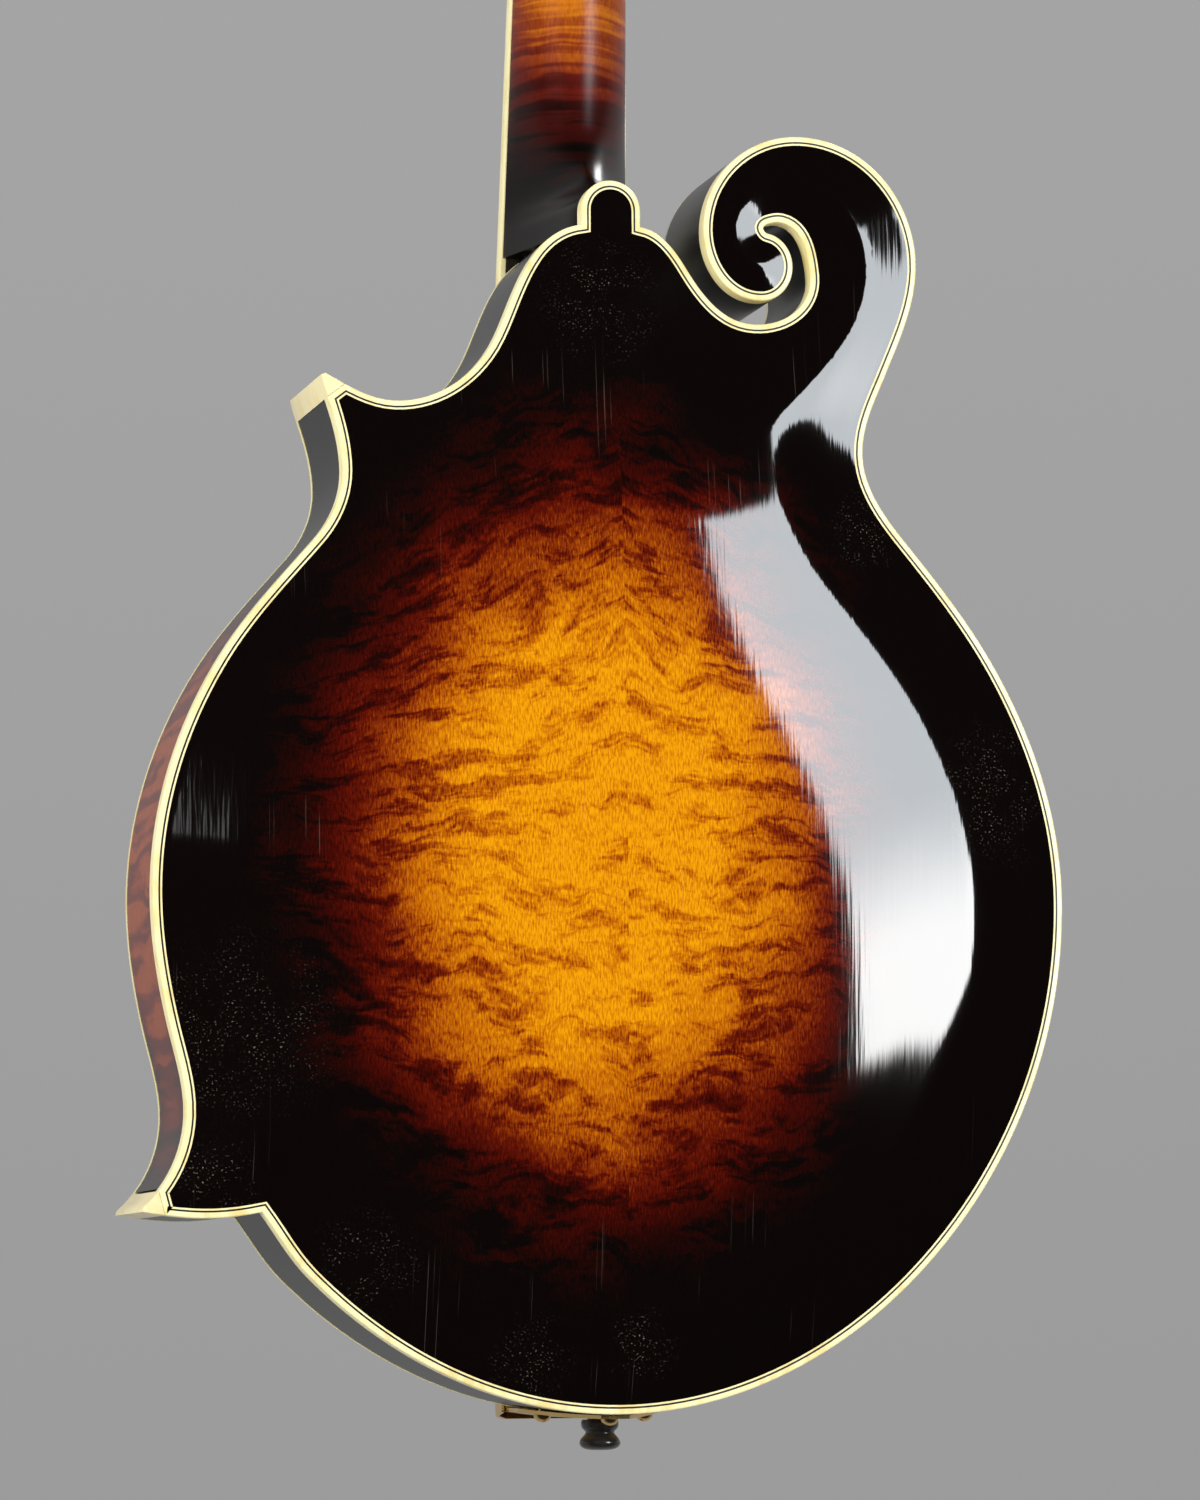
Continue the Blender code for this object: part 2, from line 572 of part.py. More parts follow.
class Body:
    """Outline and carved surfaces of the body."""

    def __init__(self):
        full = path(body_spans())
        lower, self.lower_cap = cut_tip(full, LOWER_TIP, -15, POINT_CAP_LENGTH)
        self.outline, self.upper_cap = cut_tip(lower, UPPER_TIP, 52, POINT_CAP_LENGTH)
        self.full = full
        self.plate = inset(self.outline, BINDING_WIDTH + GAP)
        self.inner = inset(self.outline, RIB_THICKNESS + GAP)

    def block_corners(self):
        """Ends of the head block's inner face, on the bass and on the treble side."""
        tight = inset(self.outline, RIB_THICKNESS + 2 * GAP)
        bass = tight[nearest_index(tight, (WAIST_BASS[0], WAIST_BASS[1] - 4 * MM))]
        return bass, tight[nearest_index(tight, HEAD_BLOCK_CORNER)]

    def block_face(self, x):
        """Y of the head block's inner face at a place across the body."""
        (x0, y0), (x1, y1) = self.block_corners()
        return y0 + (y1 - y0) * (x - x0) / (x1 - x0)

    def carving(self, points, arch):
        """Rise of a carved surface over the rim: recurve, ridge and dome."""
        direct = clearance(points, self.full)
        smooth = smooth_inset(points, self.full)
        dome = np.clip(smooth / ARCH_INSET, 0, 1)
        dome = np.sin(dome * math.pi / 2) ** 2.1
        ridge = np.clip((direct - RIDGE_START) / (RIDGE_END - RIDGE_START), 0, 1)
        ridge = ridge * ridge * (3 - 2 * ridge)
        scoop = np.clip((direct - RECURVE_START) / (RIDGE_START - RECURVE_START), 0, 1)
        scoop = np.sin(scoop * math.pi / 2) * (1 - ridge)
        flat = np.clip((direct - RECURVE_START) / RIDGE_END, 0, 1)
        rise = (arch - RIDGE_HEIGHT) * dome * flat + RIDGE_HEIGHT * ridge
        return rise - RECURVE_DEPTH * scoop

    def back_outer(self, points):
        """Height of the back's outer surface."""
        return BACK_Z - self.carving(points, BACK_ARCH)

    def top_outer(self, points):
        """Height of the soundboard's outer surface."""
        return TOP_Z + self.carving(points, TOP_ARCH)

    def hollow(self, points, rise, edge, thickness):
        """Rise of the inner surface over its flat glue margin."""
        direct = clearance(points, self.full)
        margin = np.clip((direct - LINING_WIDTH - 4 * MM) / (14 * MM), 0, 1)
        margin = margin * margin * (3 - 2 * margin)
        return np.maximum(rise + edge - thickness, 0) * margin

    def back_inner(self, points):
        """Height of the back's inner surface."""
        rise = self.carving(points, BACK_ARCH)
        return BACK_Z + BACK_EDGE - self.hollow(points, rise, BACK_EDGE, BACK_PLATE_THICKNESS)

    def top_inner(self, points):
        """Height of the soundboard's inner surface."""
        rise = self.carving(points, TOP_ARCH)
        return TOP_Z - TOP_EDGE + self.hollow(points, rise, TOP_EDGE, TOP_PLATE_THICKNESS)

    def filling(self, rows, grid, start):
        """Points inside the plate: rows at given insets, then a grid beyond the last."""
        points = []
        for distance, spacing in rows:
            loop = inset(self.plate, distance, spacing)
            points += loop
        columns = np.arange(-140 * MM, 141 * MM, grid)
        lines = np.arange(0, 360 * MM, grid * 0.87)
        field = [(x + (k % 2) * grid / 2, y) for k, y in enumerate(lines) for x in columns]
        keep = inside(field, self.plate) & (clearance(field, self.plate) > start)
        return points + [p for p, k in zip(field, keep) if k]


def plate_surface(work, loops, points, height):
    """Triangulated carved surface; returns the vertices on each loop."""
    clear = 1.6 * MM
    free = points
    for hole in loops[1:]:
        away = (clearance(free, hole) > clear) & ~inside(free, hole)
        free = [p for p, k in zip(free, away) if k]
    coords, edges = [], []
    for loop in loops:
        base = len(coords)
        coords += [Vector(p) for p in loop]
        edges += [(base + i, base + (i + 1) % len(loop)) for i in range(len(loop))]
    rim = len(coords)
    coords += [Vector(p) for p in free]
    flat, _, triangles, origin, _, _ = delaunay_2d_cdt(coords, edges, [], 0, 1e-7)
    places = [(v.x, v.y) for v in flat]
    heights = height(places)
    verts = [work.verts.new((x, y, z)) for (x, y), z in zip(places, heights)]
    middles = [tuple(np.mean([places[i] for i in t], axis=0)) for t in triangles]
    keep = inside(middles, loops[0])
    for hole in loops[1:]:
        keep &= ~inside(middles, hole)
    for triangle, wanted in zip(triangles, keep):
        if wanted:
            work.faces.new([verts[i] for i in triangle])
    on_loop = {}
    for i, sources in enumerate(origin):
        for source in sources:
            if source < rim:
                on_loop[source] = verts[i]
    return on_loop


def carved_plate(name, loops, outer, inner):
    """Plate between two carved surfaces that share its edges."""
    work = bmesh.new()
    rims = [plate_surface(work, loops, points, height) for points, height in (outer, inner)]
    base = 0
    for loop in loops:
        for i in range(len(loop)):
            j = base + (i + 1) % len(loop)
            k = base + i
            work.faces.new((rims[0][k], rims[0][j], rims[1][j], rims[1][k]))
        base += len(loop)
    for vert in [v for v in work.verts if not v.link_faces]:
        work.verts.remove(vert)
    return mesh_from(work, name)


def fhole(side):
    """Outline of a sound hole: a ribbon along an S with an eye at each hooked end."""
    knots = [(40.5 * MM, 201.5 * MM, 105), (47.5 * MM, 206.5 * MM, -35), (53.0 * MM, 172.0 * MM, -82),
             (60.0 * MM, 134.5 * MM, -50), (69.0 * MM, 139.0 * MM, 105)]
    centre = []
    for start, end in zip(knots, knots[1:]):
        centre += arc_span(start, end, 0.5 * MM)
    centre.append(knots[-1][:2])
    points = np.array(centre)
    travel = np.r_[0, np.cumsum(np.sqrt((np.diff(points, axis=0) ** 2).sum(-1)))]
    share = travel / travel[-1]
    half = np.interp(share, (0, 0.05, 0.11, 0.5, 0.9, 0.955, 1), np.array((2.6, 3.0, 1.2, 2.3, 1.2, 3.4, 3.0)) * MM)
    along = np.gradient(points, axis=0)
    along /= np.sqrt((along ** 2).sum(-1))[:, None]
    across = np.c_[-along[:, 1], along[:, 0]] * half[:, None]
    left, right = points + across, points - across
    start_cap = points[0] - along[0] * half[0] * 0.8
    end_cap = points[-1] + along[-1] * half[-1] * 0.8
    loop = [start_cap, *right, end_cap, *left[::-1]]
    return [(side * x, y) for x, y in loop]


def rib_pieces(shop, body):
    """Four bent ribs, which meet at the tail, at both points and at the neck."""
    ux, uy = UPPER_TIP
    lx, ly = LOWER_TIP
    runs = {
        "rib_bass": (SCROLL_TOP, (0, 0), WOOD_AMBER),
        "rib_treble_lower": ((0, 0), (lx - POINT_CAP_LENGTH, ly - TIP_BLUNT), WOOD_AMBER),
        "rib_treble_waist": ((lx - POINT_CAP_LENGTH, ly + 5 * MM), (ux, uy - POINT_CAP_LENGTH), WOOD_AMBER),
        "rib_cutaway": ((ux - POINT_CAP_LENGTH, uy - 2 * MM), (BUTTON_RADIUS, SHOULDER_Y), WOOD_DARK),
    }
    pieces = {}
    for name, (first, last, finish) in runs.items():
        band = strip(body.outline, body.inner, first, last)
        mesh = slab_mesh(name, [band], RIB_LOW, RIB_HIGH)
        pieces[name] = shop.add(name, mesh, shop.body, finish)
    return pieces


def strip(outline, inner, first, last):
    """Closed band along the outline between two places, back along the inset.

    Both ends stand off from their places by half the glue gap.
    """
    outer_run = run_between(outline, first, last)
    inner_run = run_between(inner, first, last)
    return trimmed(outer_run) + trimmed(inner_run)[::-1]


def run_between(loop, first, last):
    """Points of a loop from near one place to near another, anticlockwise."""
    a, b = nearest_index(loop, first), nearest_index(loop, last)
    if b <= a:
        b += len(loop)
    return [loop[i % len(loop)] for i in range(a, b + 1)]


def trimmed(run):
    """Run of points whose two ends are drawn back along it."""
    ends = []
    for a, b in ((run[0], run[1]), (run[-1], run[-2])):
        share = 0.75 * GAP / math.dist(a, b)
        ends.append((a[0] + (b[0] - a[0]) * share, a[1] + (b[1] - a[1]) * share))
    return [ends[0], *run[1:-1], ends[1]]


def build_box(shop, body):
    """Plates, ribs, blocks, linings, tone bars, bindings and point caps."""
    body_frame = shop.body
    outer_points = body.filling(OUTER_ROWS, *OUTER_GRID)
    inner_points = body.filling(INNER_ROWS, *INNER_GRID)
    outer = (outer_points, body.back_outer)
    inner = (inner_points, body.back_inner)
    shop.add("back_plate", carved_plate("back_plate", [body.plate], outer, inner), body_frame, WOOD_AMBER)

    rim = [p for p in body.outline if p[1] < SHOULDER_Y + MM or abs(p[0]) > BUTTON_RADIUS + MM]
    no_button = inset(rim, BINDING_WIDTH + GAP)
    holes = [fhole(1), fhole(-1)[::-1]]
    outer = (outer_points, body.top_outer)
    inner = (inner_points, body.top_inner)
    shop.add("top_plate", carved_plate("top_plate", [no_button, *holes], outer, inner), body_frame, WOOD_AMBER)

    ring = slab("back_binding", [body.outline, inset(body.outline, BINDING_WIDTH)], BACK_Z, BACK_Z + BACK_EDGE)
    shop.add("back_binding", ring, body_frame, IVOROID, (0, 0, BACK_Z + BACK_EDGE / 2))
    ring = slab("top_binding", [rim, inset(rim, BINDING_WIDTH)], TOP_Z - TOP_EDGE, TOP_Z)
    shop.add("top_binding", ring, body_frame, IVOROID, (0, 0, TOP_Z - TOP_EDGE / 2))

    for name, outline in (("lower_point_cap", body.lower_cap), ("upper_point_cap", body.upper_cap)):
        shop.add(name, slab(name, [outline], BACK_Z, TOP_Z), body_frame, IVOROID, (0, 0, 0))

    ribs = rib_pieces(shop, body)
    build_blocks(shop, body, ribs)
    build_linings(shop, body)
    for name, side in (("bass_tone_bar", -1), ("treble_tone_bar", 1)):
        rings = []
        length = body.block_face(side * TONE_BAR_X) - TONE_BAR_CLEAR - TONE_BAR_START
        for share in np.linspace(0, 1, 9):
            y = TONE_BAR_START + share * length
            middle = side * (TONE_BAR_X + TONE_BAR_LEAN * (0.5 - share))
            deep = TONE_BAR_DEPTH * min(1, 0.3 + 2.8 * min(share, 1 - share))
            foot = [(middle + d, y) for d in (-TONE_BAR_WIDTH / 2, 0, TONE_BAR_WIDTH / 2)]
            top = body.top_inner(foot).min() - TONE_BAR_GLUE
            rings.append([(middle + d * TONE_BAR_WIDTH / 2, y, top - drop)
                          for d, drop in ((-1, 0), (-0.5, deep), (0.5, deep), (1, 0))])
        shop.add(name, loft(name, rings), body_frame, WOOD_RAW)


def build_blocks(shop, body, ribs):
    """Head block with the scroll, tail block and the two point blocks."""
    scroll_run = run_between(body.outline, (-BUTTON_RADIUS, SHOULDER_Y), SCROLL_TOP)
    tight = inset(body.outline, RIB_THICKNESS + 2 * GAP)
    bass_corner, treble_corner = body.block_corners()
    hidden = run_between(tight, SCROLL_TOP, bass_corner)
    cut_run = run_between(tight, treble_corner, (BUTTON_RADIUS + 3 * MM, SHOULDER_Y))
    outline = scroll_run[:-1] + hidden + cut_run
    head = shop.add("head_block", slab_mesh("head_block", [outline], RIB_LOW, RIB_HIGH),
                    shop.body, WOOD_DARK)
    socket = slab_mesh("tenon_socket", [tenon_outline(GAP, 4 * MM)], BACK_Z, TOP_Z + 10 * MM)
    boolean(head, shop.cutter("tenon_socket", socket, shop.body), "DIFFERENCE")

    wide = TAIL_BLOCK_HALF_WIDTH
    tail_run = sorted(p for p in tight if abs(p[0]) < wide and p[1] < TAIL_BLOCK_END)
    tail = tail_run + [(wide, TAIL_BLOCK_END), (-wide, TAIL_BLOCK_END)]
    tail_block = shop.add("tail_block", slab_mesh("tail_block", [tail], RIB_LOW, RIB_HIGH), shop.body, WOOD_RAW)
    bore = turned("pin_bore", [(PIN_SHANK_RADIUS + GAP, -PIN_LENGTH),
                               (PIN_SHANK_RADIUS + GAP, PIN_SHANK_LENGTH)], 12)
    bore.transform(Matrix.Rotation(math.radians(-90), 4, "X"))
    bore_cutter = shop.cutter("pin_bore", bore, shop.body)
    for piece in (tail_block, ribs["rib_bass"], ribs["rib_treble_lower"]):
        boolean(piece, bore_cutter, "DIFFERENCE")

    for name, (first, last) in (("upper_point_block", UPPER_BLOCK_ENDS), ("lower_point_block", LOWER_BLOCK_ENDS)):
        run = run_between(tight, first, last)
        shop.add(name, slab(name, [run], RIB_LOW, RIB_HIGH), shop.body, WOOD_RAW, (0, 0, (RIB_LOW + RIB_HIGH) / 2))


def build_linings(shop, body):
    """Lining strips that widen the glue joint between ribs and plates.

    The treble strips run across the inner face of the lower point block.
    """
    outer = inset(body.outline, RIB_THICKNESS + 2 * GAP)
    inner = inset(body.outline, RIB_THICKNESS + 2 * GAP + LINING_WIDTH)
    notch, beyond = LOWER_BLOCK_ENDS
    for side, (first, last) in (("bass", BASS_LINING_ENDS), ("treble", TREBLE_LINING_ENDS)):
        band = []
        for loop, sign in ((outer, 1), (inner, -1)):
            run = [p for p in run_between(loop, first, last)
                   if side == "bass" or p[1] < notch[1] - 4 * MM or p[1] > beyond[1] + 5 * MM]
            band += trimmed(run)[::sign]
        for plate, low, high in (("back", RIB_LOW, RIB_LOW + LINING_HEIGHT),
                                 ("top", RIB_HIGH - LINING_HEIGHT, RIB_HIGH)):
            name = "%s_lining_%s" % (plate, side)
            shop.add(name, slab(name, [band], low, high), shop.body, WOOD_RAW, (0, 0, (low + high) / 2))


def tenon_outline(clear, past=0.0):
    """Dovetail tenon of the neck seen from above, widened by a clearance."""
    top, low = SHOULDER_Y + past, SHOULDER_Y - TENON_LENGTH - clear
    return [(TENON_ROOT + clear, top), (-TENON_ROOT - clear, top), (-TENON_END - clear, low), (TENON_END + clear, low)]


def neck_section(y, top, half, low_half, depth, square):
    """Cross-section of the neck across Y: flat on top, rounded or narrowing below."""
    right = []
    for t in (0.0, 0.18, 0.42, 0.66, 0.85, 1.0):
        fade = (1 - t) ** 1.3
        width = (half * fade + low_half * (1 - fade)) * math.sqrt(max(1 - t ** square, 0.012))
        right.append((width, y, top - depth * t))
    left = [(-x, y, z) for x, y, z in right[::-1]]
    return right + left


def board_half(distance):
    """Half width of the fingerboard at a distance from the nut."""
    return NUT_WIDTH / 2 + BOARD_TAPER * distance


def head_outline():
    """Outline of the headstock from the nut: waist, ears, taper, horn and scroll."""
    foot = NUT_WIDTH / 2 + 1.2 * MM
    w = HEAD_HALF_WIDTH
    top = HEAD_LENGTH
    right = [(foot, -GAP, 90), (foot + 1 * MM, 3 * MM, 75), (w - 6 * MM, 15 * MM, 40),
             (w + 1 * MM, 17.5 * MM, 20)]
    side = [(w + 1 * MM, 19.5 * MM, 150), (w - 3.6 * MM, 27 * MM, 95), (w - 5 * MM, 70 * MM, 94),
            (w - 5 * MM, 108 * MM, 84), (w + 2 * MM, top - 29 * MM, 62), (w + 8 * MM, top - 21 * MM, 48)]
    crown = [(w + 7 * MM, top - 19 * MM, 185), (w - 14 * MM, top - 23 * MM, 205), (4 * MM, top - 25 * MM, 150),
             (-8 * MM, top - 6 * MM, 122), (-25 * MM, top, 180), (-w - 6 * MM, top - 15 * MM, 262),
             (-w + 2 * MM, top - 26 * MM, 0), (-w + 7 * MM, top - 20 * MM, 75)]
    curl = [(-w + 8.4 * MM, top - 19.4 * MM, 265), (-w + 6 * MM, top - 31 * MM, 246),
            (-w + 3 * MM, top - 40 * MM, 268), (-w + 5 * MM, 108 * MM, 276), (-w + 5 * MM, 70 * MM, 266),
            (-w + 3.6 * MM, 27 * MM, 265), (-w - 1 * MM, 19.5 * MM, 210)]
    left = [(-w - 1 * MM, 17.5 * MM, 340), (-w + 6 * MM, 15 * MM, 320), (-foot - 1 * MM, 3 * MM, 285),
            (-foot, -GAP, 270)]
    return path([right, side, crown, curl, left])


def post_places():
    """Names and places of the tuner posts: two nearest the nut serve the outer course."""
    places = []
    for side, courses in ((-1, "gd"), (1, "ea")):
        for k in range(POST_COUNT):
            label = "%s_%s%d" % ("bass" if side < 0 else "treble", courses[k // 2], k % 2 + 1)
            places.append((label, side, FIRST_POST_Y + POST_SPACING * k))
    return places


def build_neck(shop, body):
    """Neck with its heel, tenon and headstock, and what is glued to it."""
    slope = math.tan(NECK_ANGLE)

    def top(y):
        return NUT_Z + (NUT_Y - y) * slope

    floor = RIB_LOW
    button_top = BUTTON_CENTRE_Y + BUTTON_RADIUS
    stations = [(SHOULDER_Y + 1.4 * GAP, None, HEEL_HALF_WIDTH, 24),
                (SHOULDER_Y + 7 * MM, None, HEEL_HALF_WIDTH - 0.6 * MM, 20),
                (button_top - 2.4 * MM, None, 5.0 * MM, 10), (button_top + 1.2 * MM, 38 * MM, 4.5 * MM, 5),
                (button_top + 5 * MM, 30.5 * MM, 6.0 * MM, 3.4), (button_top + 12 * MM, 23.5 * MM, 9.5 * MM, 2.6),
                (button_top + 22 * MM, 19 * MM, 13 * MM, 2.2), (button_top + 38 * MM, SHAFT_DEPTH_HEEL, 15 * MM, 2.1)]
    rings = []
    for y in np.linspace(NUT_Y - BOARD_LENGTH + 10 * MM, SHOULDER_Y + GAP, 5):
        half = board_half(NUT_Y - y) - EXTENSION_INSET
        crown = body.top_outer([(half * share, y) for share in (-1, -0.5, 0, 0.5, 1)]).max()
        rings.append(neck_section(y, top(y), half, half, top(y) - crown - 2 * GAP, 24))
    for y, depth, low_half, square in stations:
        half = board_half(NUT_Y - y) - 0.2 * MM
        depth = top(y) - floor if depth is None else depth
        rings.append(neck_section(y, top(y), half, low_half, depth, square))
    end = NUT_Y + NUT_LENGTH + 5 * MM
    for share in (0.35, 0.7, 0.93):
        y = button_top + 38 * MM + (NUT_Y - button_top - 38 * MM) * share
        half = board_half(NUT_Y - y) - 0.2 * MM
        depth = SHAFT_DEPTH_HEEL + (SHAFT_DEPTH_NUT - SHAFT_DEPTH_HEEL) * share
        rings.append(neck_section(y, top(y), half, half * 0.98, depth, 2.1))
    half = NUT_WIDTH / 2 + 0.6 * MM
    rings.append(neck_section(NUT_Y + 1 * MM, top(NUT_Y + MM), half, half, SHAFT_DEPTH_NUT, 2.3))
    rings.append(neck_section(end, top(end) - 2.6 * MM, half, half * 0.96, SHAFT_DEPTH_NUT + 0.5 * MM, 3))
    neck = shop.add("neck", loft("neck", rings), shop.body, WOOD_DARK)
    core = slab_mesh("headstock_core", [head_outline()], -HEAD_THICKNESS, 0)
    boolean(neck, shop.cutter("headstock_core", core, shop.head), "UNION")
    tenon = slab_mesh("tenon", [tenon_outline(0, 3 * MM)], RIB_LOW + MM, RIB_HIGH - MM)
    boolean(neck, shop.cutter("tenon", tenon, shop.body), "UNION")

    bores = joined("post_bores", [
        placed(turned("bore", [(POST_RADIUS + BUSHING_WALL + 2 * GAP, 10 * MM),
                               (POST_RADIUS + BUSHING_WALL + 2 * GAP, -HEAD_THICKNESS - 5 * MM)], 8),
               Matrix.Translation((side * POST_X, y, 0))) for _, side, y in post_places()])
    bore_cutter = shop.cutter("post_bores", bores, shop.head)
    boolean(neck, bore_cutter, "DIFFERENCE")
    channel = box_mesh("rod_channel", (-TRUSS_ROD_RADIUS - GAP, -0.19, -9 * MM),
                       (TRUSS_ROD_RADIUS + GAP, 30 * MM, 1 * MM))
    boolean(neck, shop.cutter("rod_channel", channel, shop.neck), "DIFFERENCE")

    rod = turned("truss_rod", [(TRUSS_ROD_RADIUS, 28 * MM), (TRUSS_ROD_RADIUS, 20 * MM),
                               (TRUSS_ROD_RADIUS * 0.65, 20 * MM), (TRUSS_ROD_RADIUS * 0.65, -185 * MM)], 6)
    rod.transform(Matrix.Rotation(math.radians(-90), 4, "X"))
    rod.transform(Matrix.Translation((0, 0, -5.5 * MM)))
    shop.add("truss_rod", rod, shop.neck, STEEL)

    front = [(x, y) for x, y in head_outline() if y > GAP]
    veneer = shop.add("headstock_veneer",
                      slab_mesh("headstock_veneer", [front], GAP, GAP + VENEER_THICKNESS), shop.head, EBONY)
    boolean(veneer, bore_cutter, "DIFFERENCE")
    pocket = box_mesh("nut_end_pocket", (-5 * MM, 4 * MM, -1 * MM), (5 * MM, 26 * MM, 10 * MM))
    boolean(veneer, shop.cutter("nut_end_pocket", pocket, shop.head), "DIFFERENCE")
    cover = path([[(5.5 * MM, 5 * MM, 90), (7.5 * MM, 13 * MM, 85), (0.0, 33 * MM, 118)],
                  [(0.0, 33 * MM, 242), (-7.5 * MM, 13 * MM, 275), (-5.5 * MM, 5 * MM, 270)]])
    low = 2 * GAP + VENEER_THICKNESS
    shop.add("truss_rod_cover", slab("truss_rod_cover", [cover], low, low + 1.5 * MM), shop.head, EBONY,
             (0, 0, low + 0.75 * MM))

    board = [(board_half(0), -GAP), (-board_half(0), -GAP), (-board_half(BOARD_LENGTH), -BOARD_LENGTH + 4 * MM),
             (-4 * MM, -BOARD_LENGTH - 2 * MM), (12 * MM, -BOARD_LENGTH + 8 * MM),
             (board_half(BOARD_LENGTH), -BOARD_LENGTH + 14 * MM)]
    wood = inset(board, BINDING_WIDTH + GAP)
    fretboard = shop.add("fingerboard", slab_mesh("fingerboard", [wood], GAP, GAP + BOARD_THICKNESS),
                         shop.neck, EBONY)
    shop.add("fingerboard_binding", slab("fingerboard_binding", [board, inset(board, BINDING_WIDTH)],
                                         GAP, GAP + BOARD_THICKNESS), shop.neck, IVOROID,
             (0, 0, GAP + BOARD_THICKNESS / 2))
    frets = []
    base = BOARD_THICKNESS + GAP
    board_end = min(y for _, y in wood)
    for number in range(1, FRET_COUNT + 1):
        y = -SCALE_LENGTH * (1 - 2 ** (-number / 12))
        if y - FRET_WIDTH < board_end:
            break
        left, right = span_at(wood, y - FRET_WIDTH / 2)
        arch = [(-FRET_WIDTH / 2, -GAP), (FRET_WIDTH / 2, -GAP), (FRET_WIDTH * 0.3, FRET_HEIGHT),
                (-FRET_WIDTH * 0.3, FRET_HEIGHT)]
        frets.append(loft("fret", [[(x, y + dy, base + z) for dy, z in arch] for x in (left, right)]))
    boolean(fretboard, shop.cutter("frets", joined("frets", frets), shop.neck), "UNION")
    nut_top = string_line()[0] - GAP
    nut = box_mesh("nut", (-NUT_WIDTH / 2, GAP, GAP), (NUT_WIDTH / 2, NUT_LENGTH - GAP, nut_top))
    shop.add("nut", nut, shop.neck, BONE)


def span_at(loop, y):
    """Where a level line runs inside an outline, drawn in by the glue gap."""
    crossings = []
    for (x0, y0), (x1, y1) in zip(loop, loop[1:] + loop[:1]):
        if (y0 > y) != (y1 > y):
            crossings.append(x0 + (x1 - x0) * (y - y0) / (y1 - y0))
    return min(crossings) + GAP, max(crossings) - GAP


def worm_mesh(name, side):
    """Worm, shaft and knob in one turned piece along X, with one start of thread."""
    work = bmesh.new()
    n = WORM_STEPS
    count = WORM_TURNS * n
    offsets = (-WORM_ROOT_WIDTH / 2, -WORM_CREST_WIDTH / 2, WORM_CREST_WIDTH / 2, WORM_ROOT_WIDTH / 2)
    radii = (WORM_ROOT, WORM_CREST, WORM_CREST, WORM_ROOT)
    begin = -WORM_TURNS * WORM_LEAD / 2

    def spot(x, radius, k, flat=1.0):
        angle = 2 * math.pi * k / n
        return work.verts.new((side * x, radius * math.cos(angle), radius * flat * math.sin(angle)))

    lines = [[spot(begin + WORM_LEAD * k / n + off, r, k) for k in range(count + 1)]
             for off, r in zip(offsets, radii)]
    a, b, c, d = lines
    for first, second in ((a, b), (b, c), (c, d)):
        for k in range(count):
            work.faces.new((first[k], first[k + 1], second[k + 1], second[k]))
    for k in range(count - n):
        work.faces.new((d[k], d[k + 1], a[k + n + 1], a[k + n]))
    reach = -begin + WORM_ROOT_WIDTH
    inner = [spot(-reach - 0.4 * MM, WORM_SHAFT, k) for k in range(n)]
    outer = [spot(reach + 0.4 * MM, WORM_SHAFT, k) for k in range(n)]
    for k in range(n):
        work.faces.new((inner[k], inner[(k + 1) % n], a[k + 1], a[k]))
        work.faces.new((outer[k], outer[(k + 1) % n], d[count - n + k + 1], d[count - n + k]))
    work.faces.new((inner[0], a[0], b[0], c[0], d[0], a[n]))
    work.faces.new((outer[0], d[count], c[count], b[count], a[count], d[count - n]))
    tip = [spot(-reach - EAR_THICKNESS - 1.4 * MM, WORM_SHAFT, k) for k in range(n)]
    bridge_rings(work, inner, tip)
    work.faces.new(tip)
    knob = KNOB_START - POST_X
    rings = ((0, WORM_SHAFT, 1), (0.2, 2.2 * MM, 1), (1.6, 2.2 * MM, 1), (2.6, KNOB_HALF_WIDTH * 0.62, 0.62),
             (5.2, KNOB_HALF_WIDTH * 0.97, 0.47), (9.2, KNOB_HALF_WIDTH, 0.47), (12.2, KNOB_HALF_WIDTH * 0.72, 0.45),
             (13.0, KNOB_HALF_WIDTH * 0.3, 0.45))
    previous = outer
    for share, radius, flat in rings:
        ring = [spot(knob + share / 13 * KNOB_LENGTH, radius, k, flat) for k in range(n)]
        bridge_rings(work, previous, ring)
        previous = ring
    work.faces.new(previous)
    return mesh_from(work, name)


def bridge_rings(work, first, second):
    """Skin between two rings of vertices."""
    count = len(first)
    for i in range(count):
        j = (i + 1) % count
        work.faces.new((first[i], first[j], second[j], second[i]))


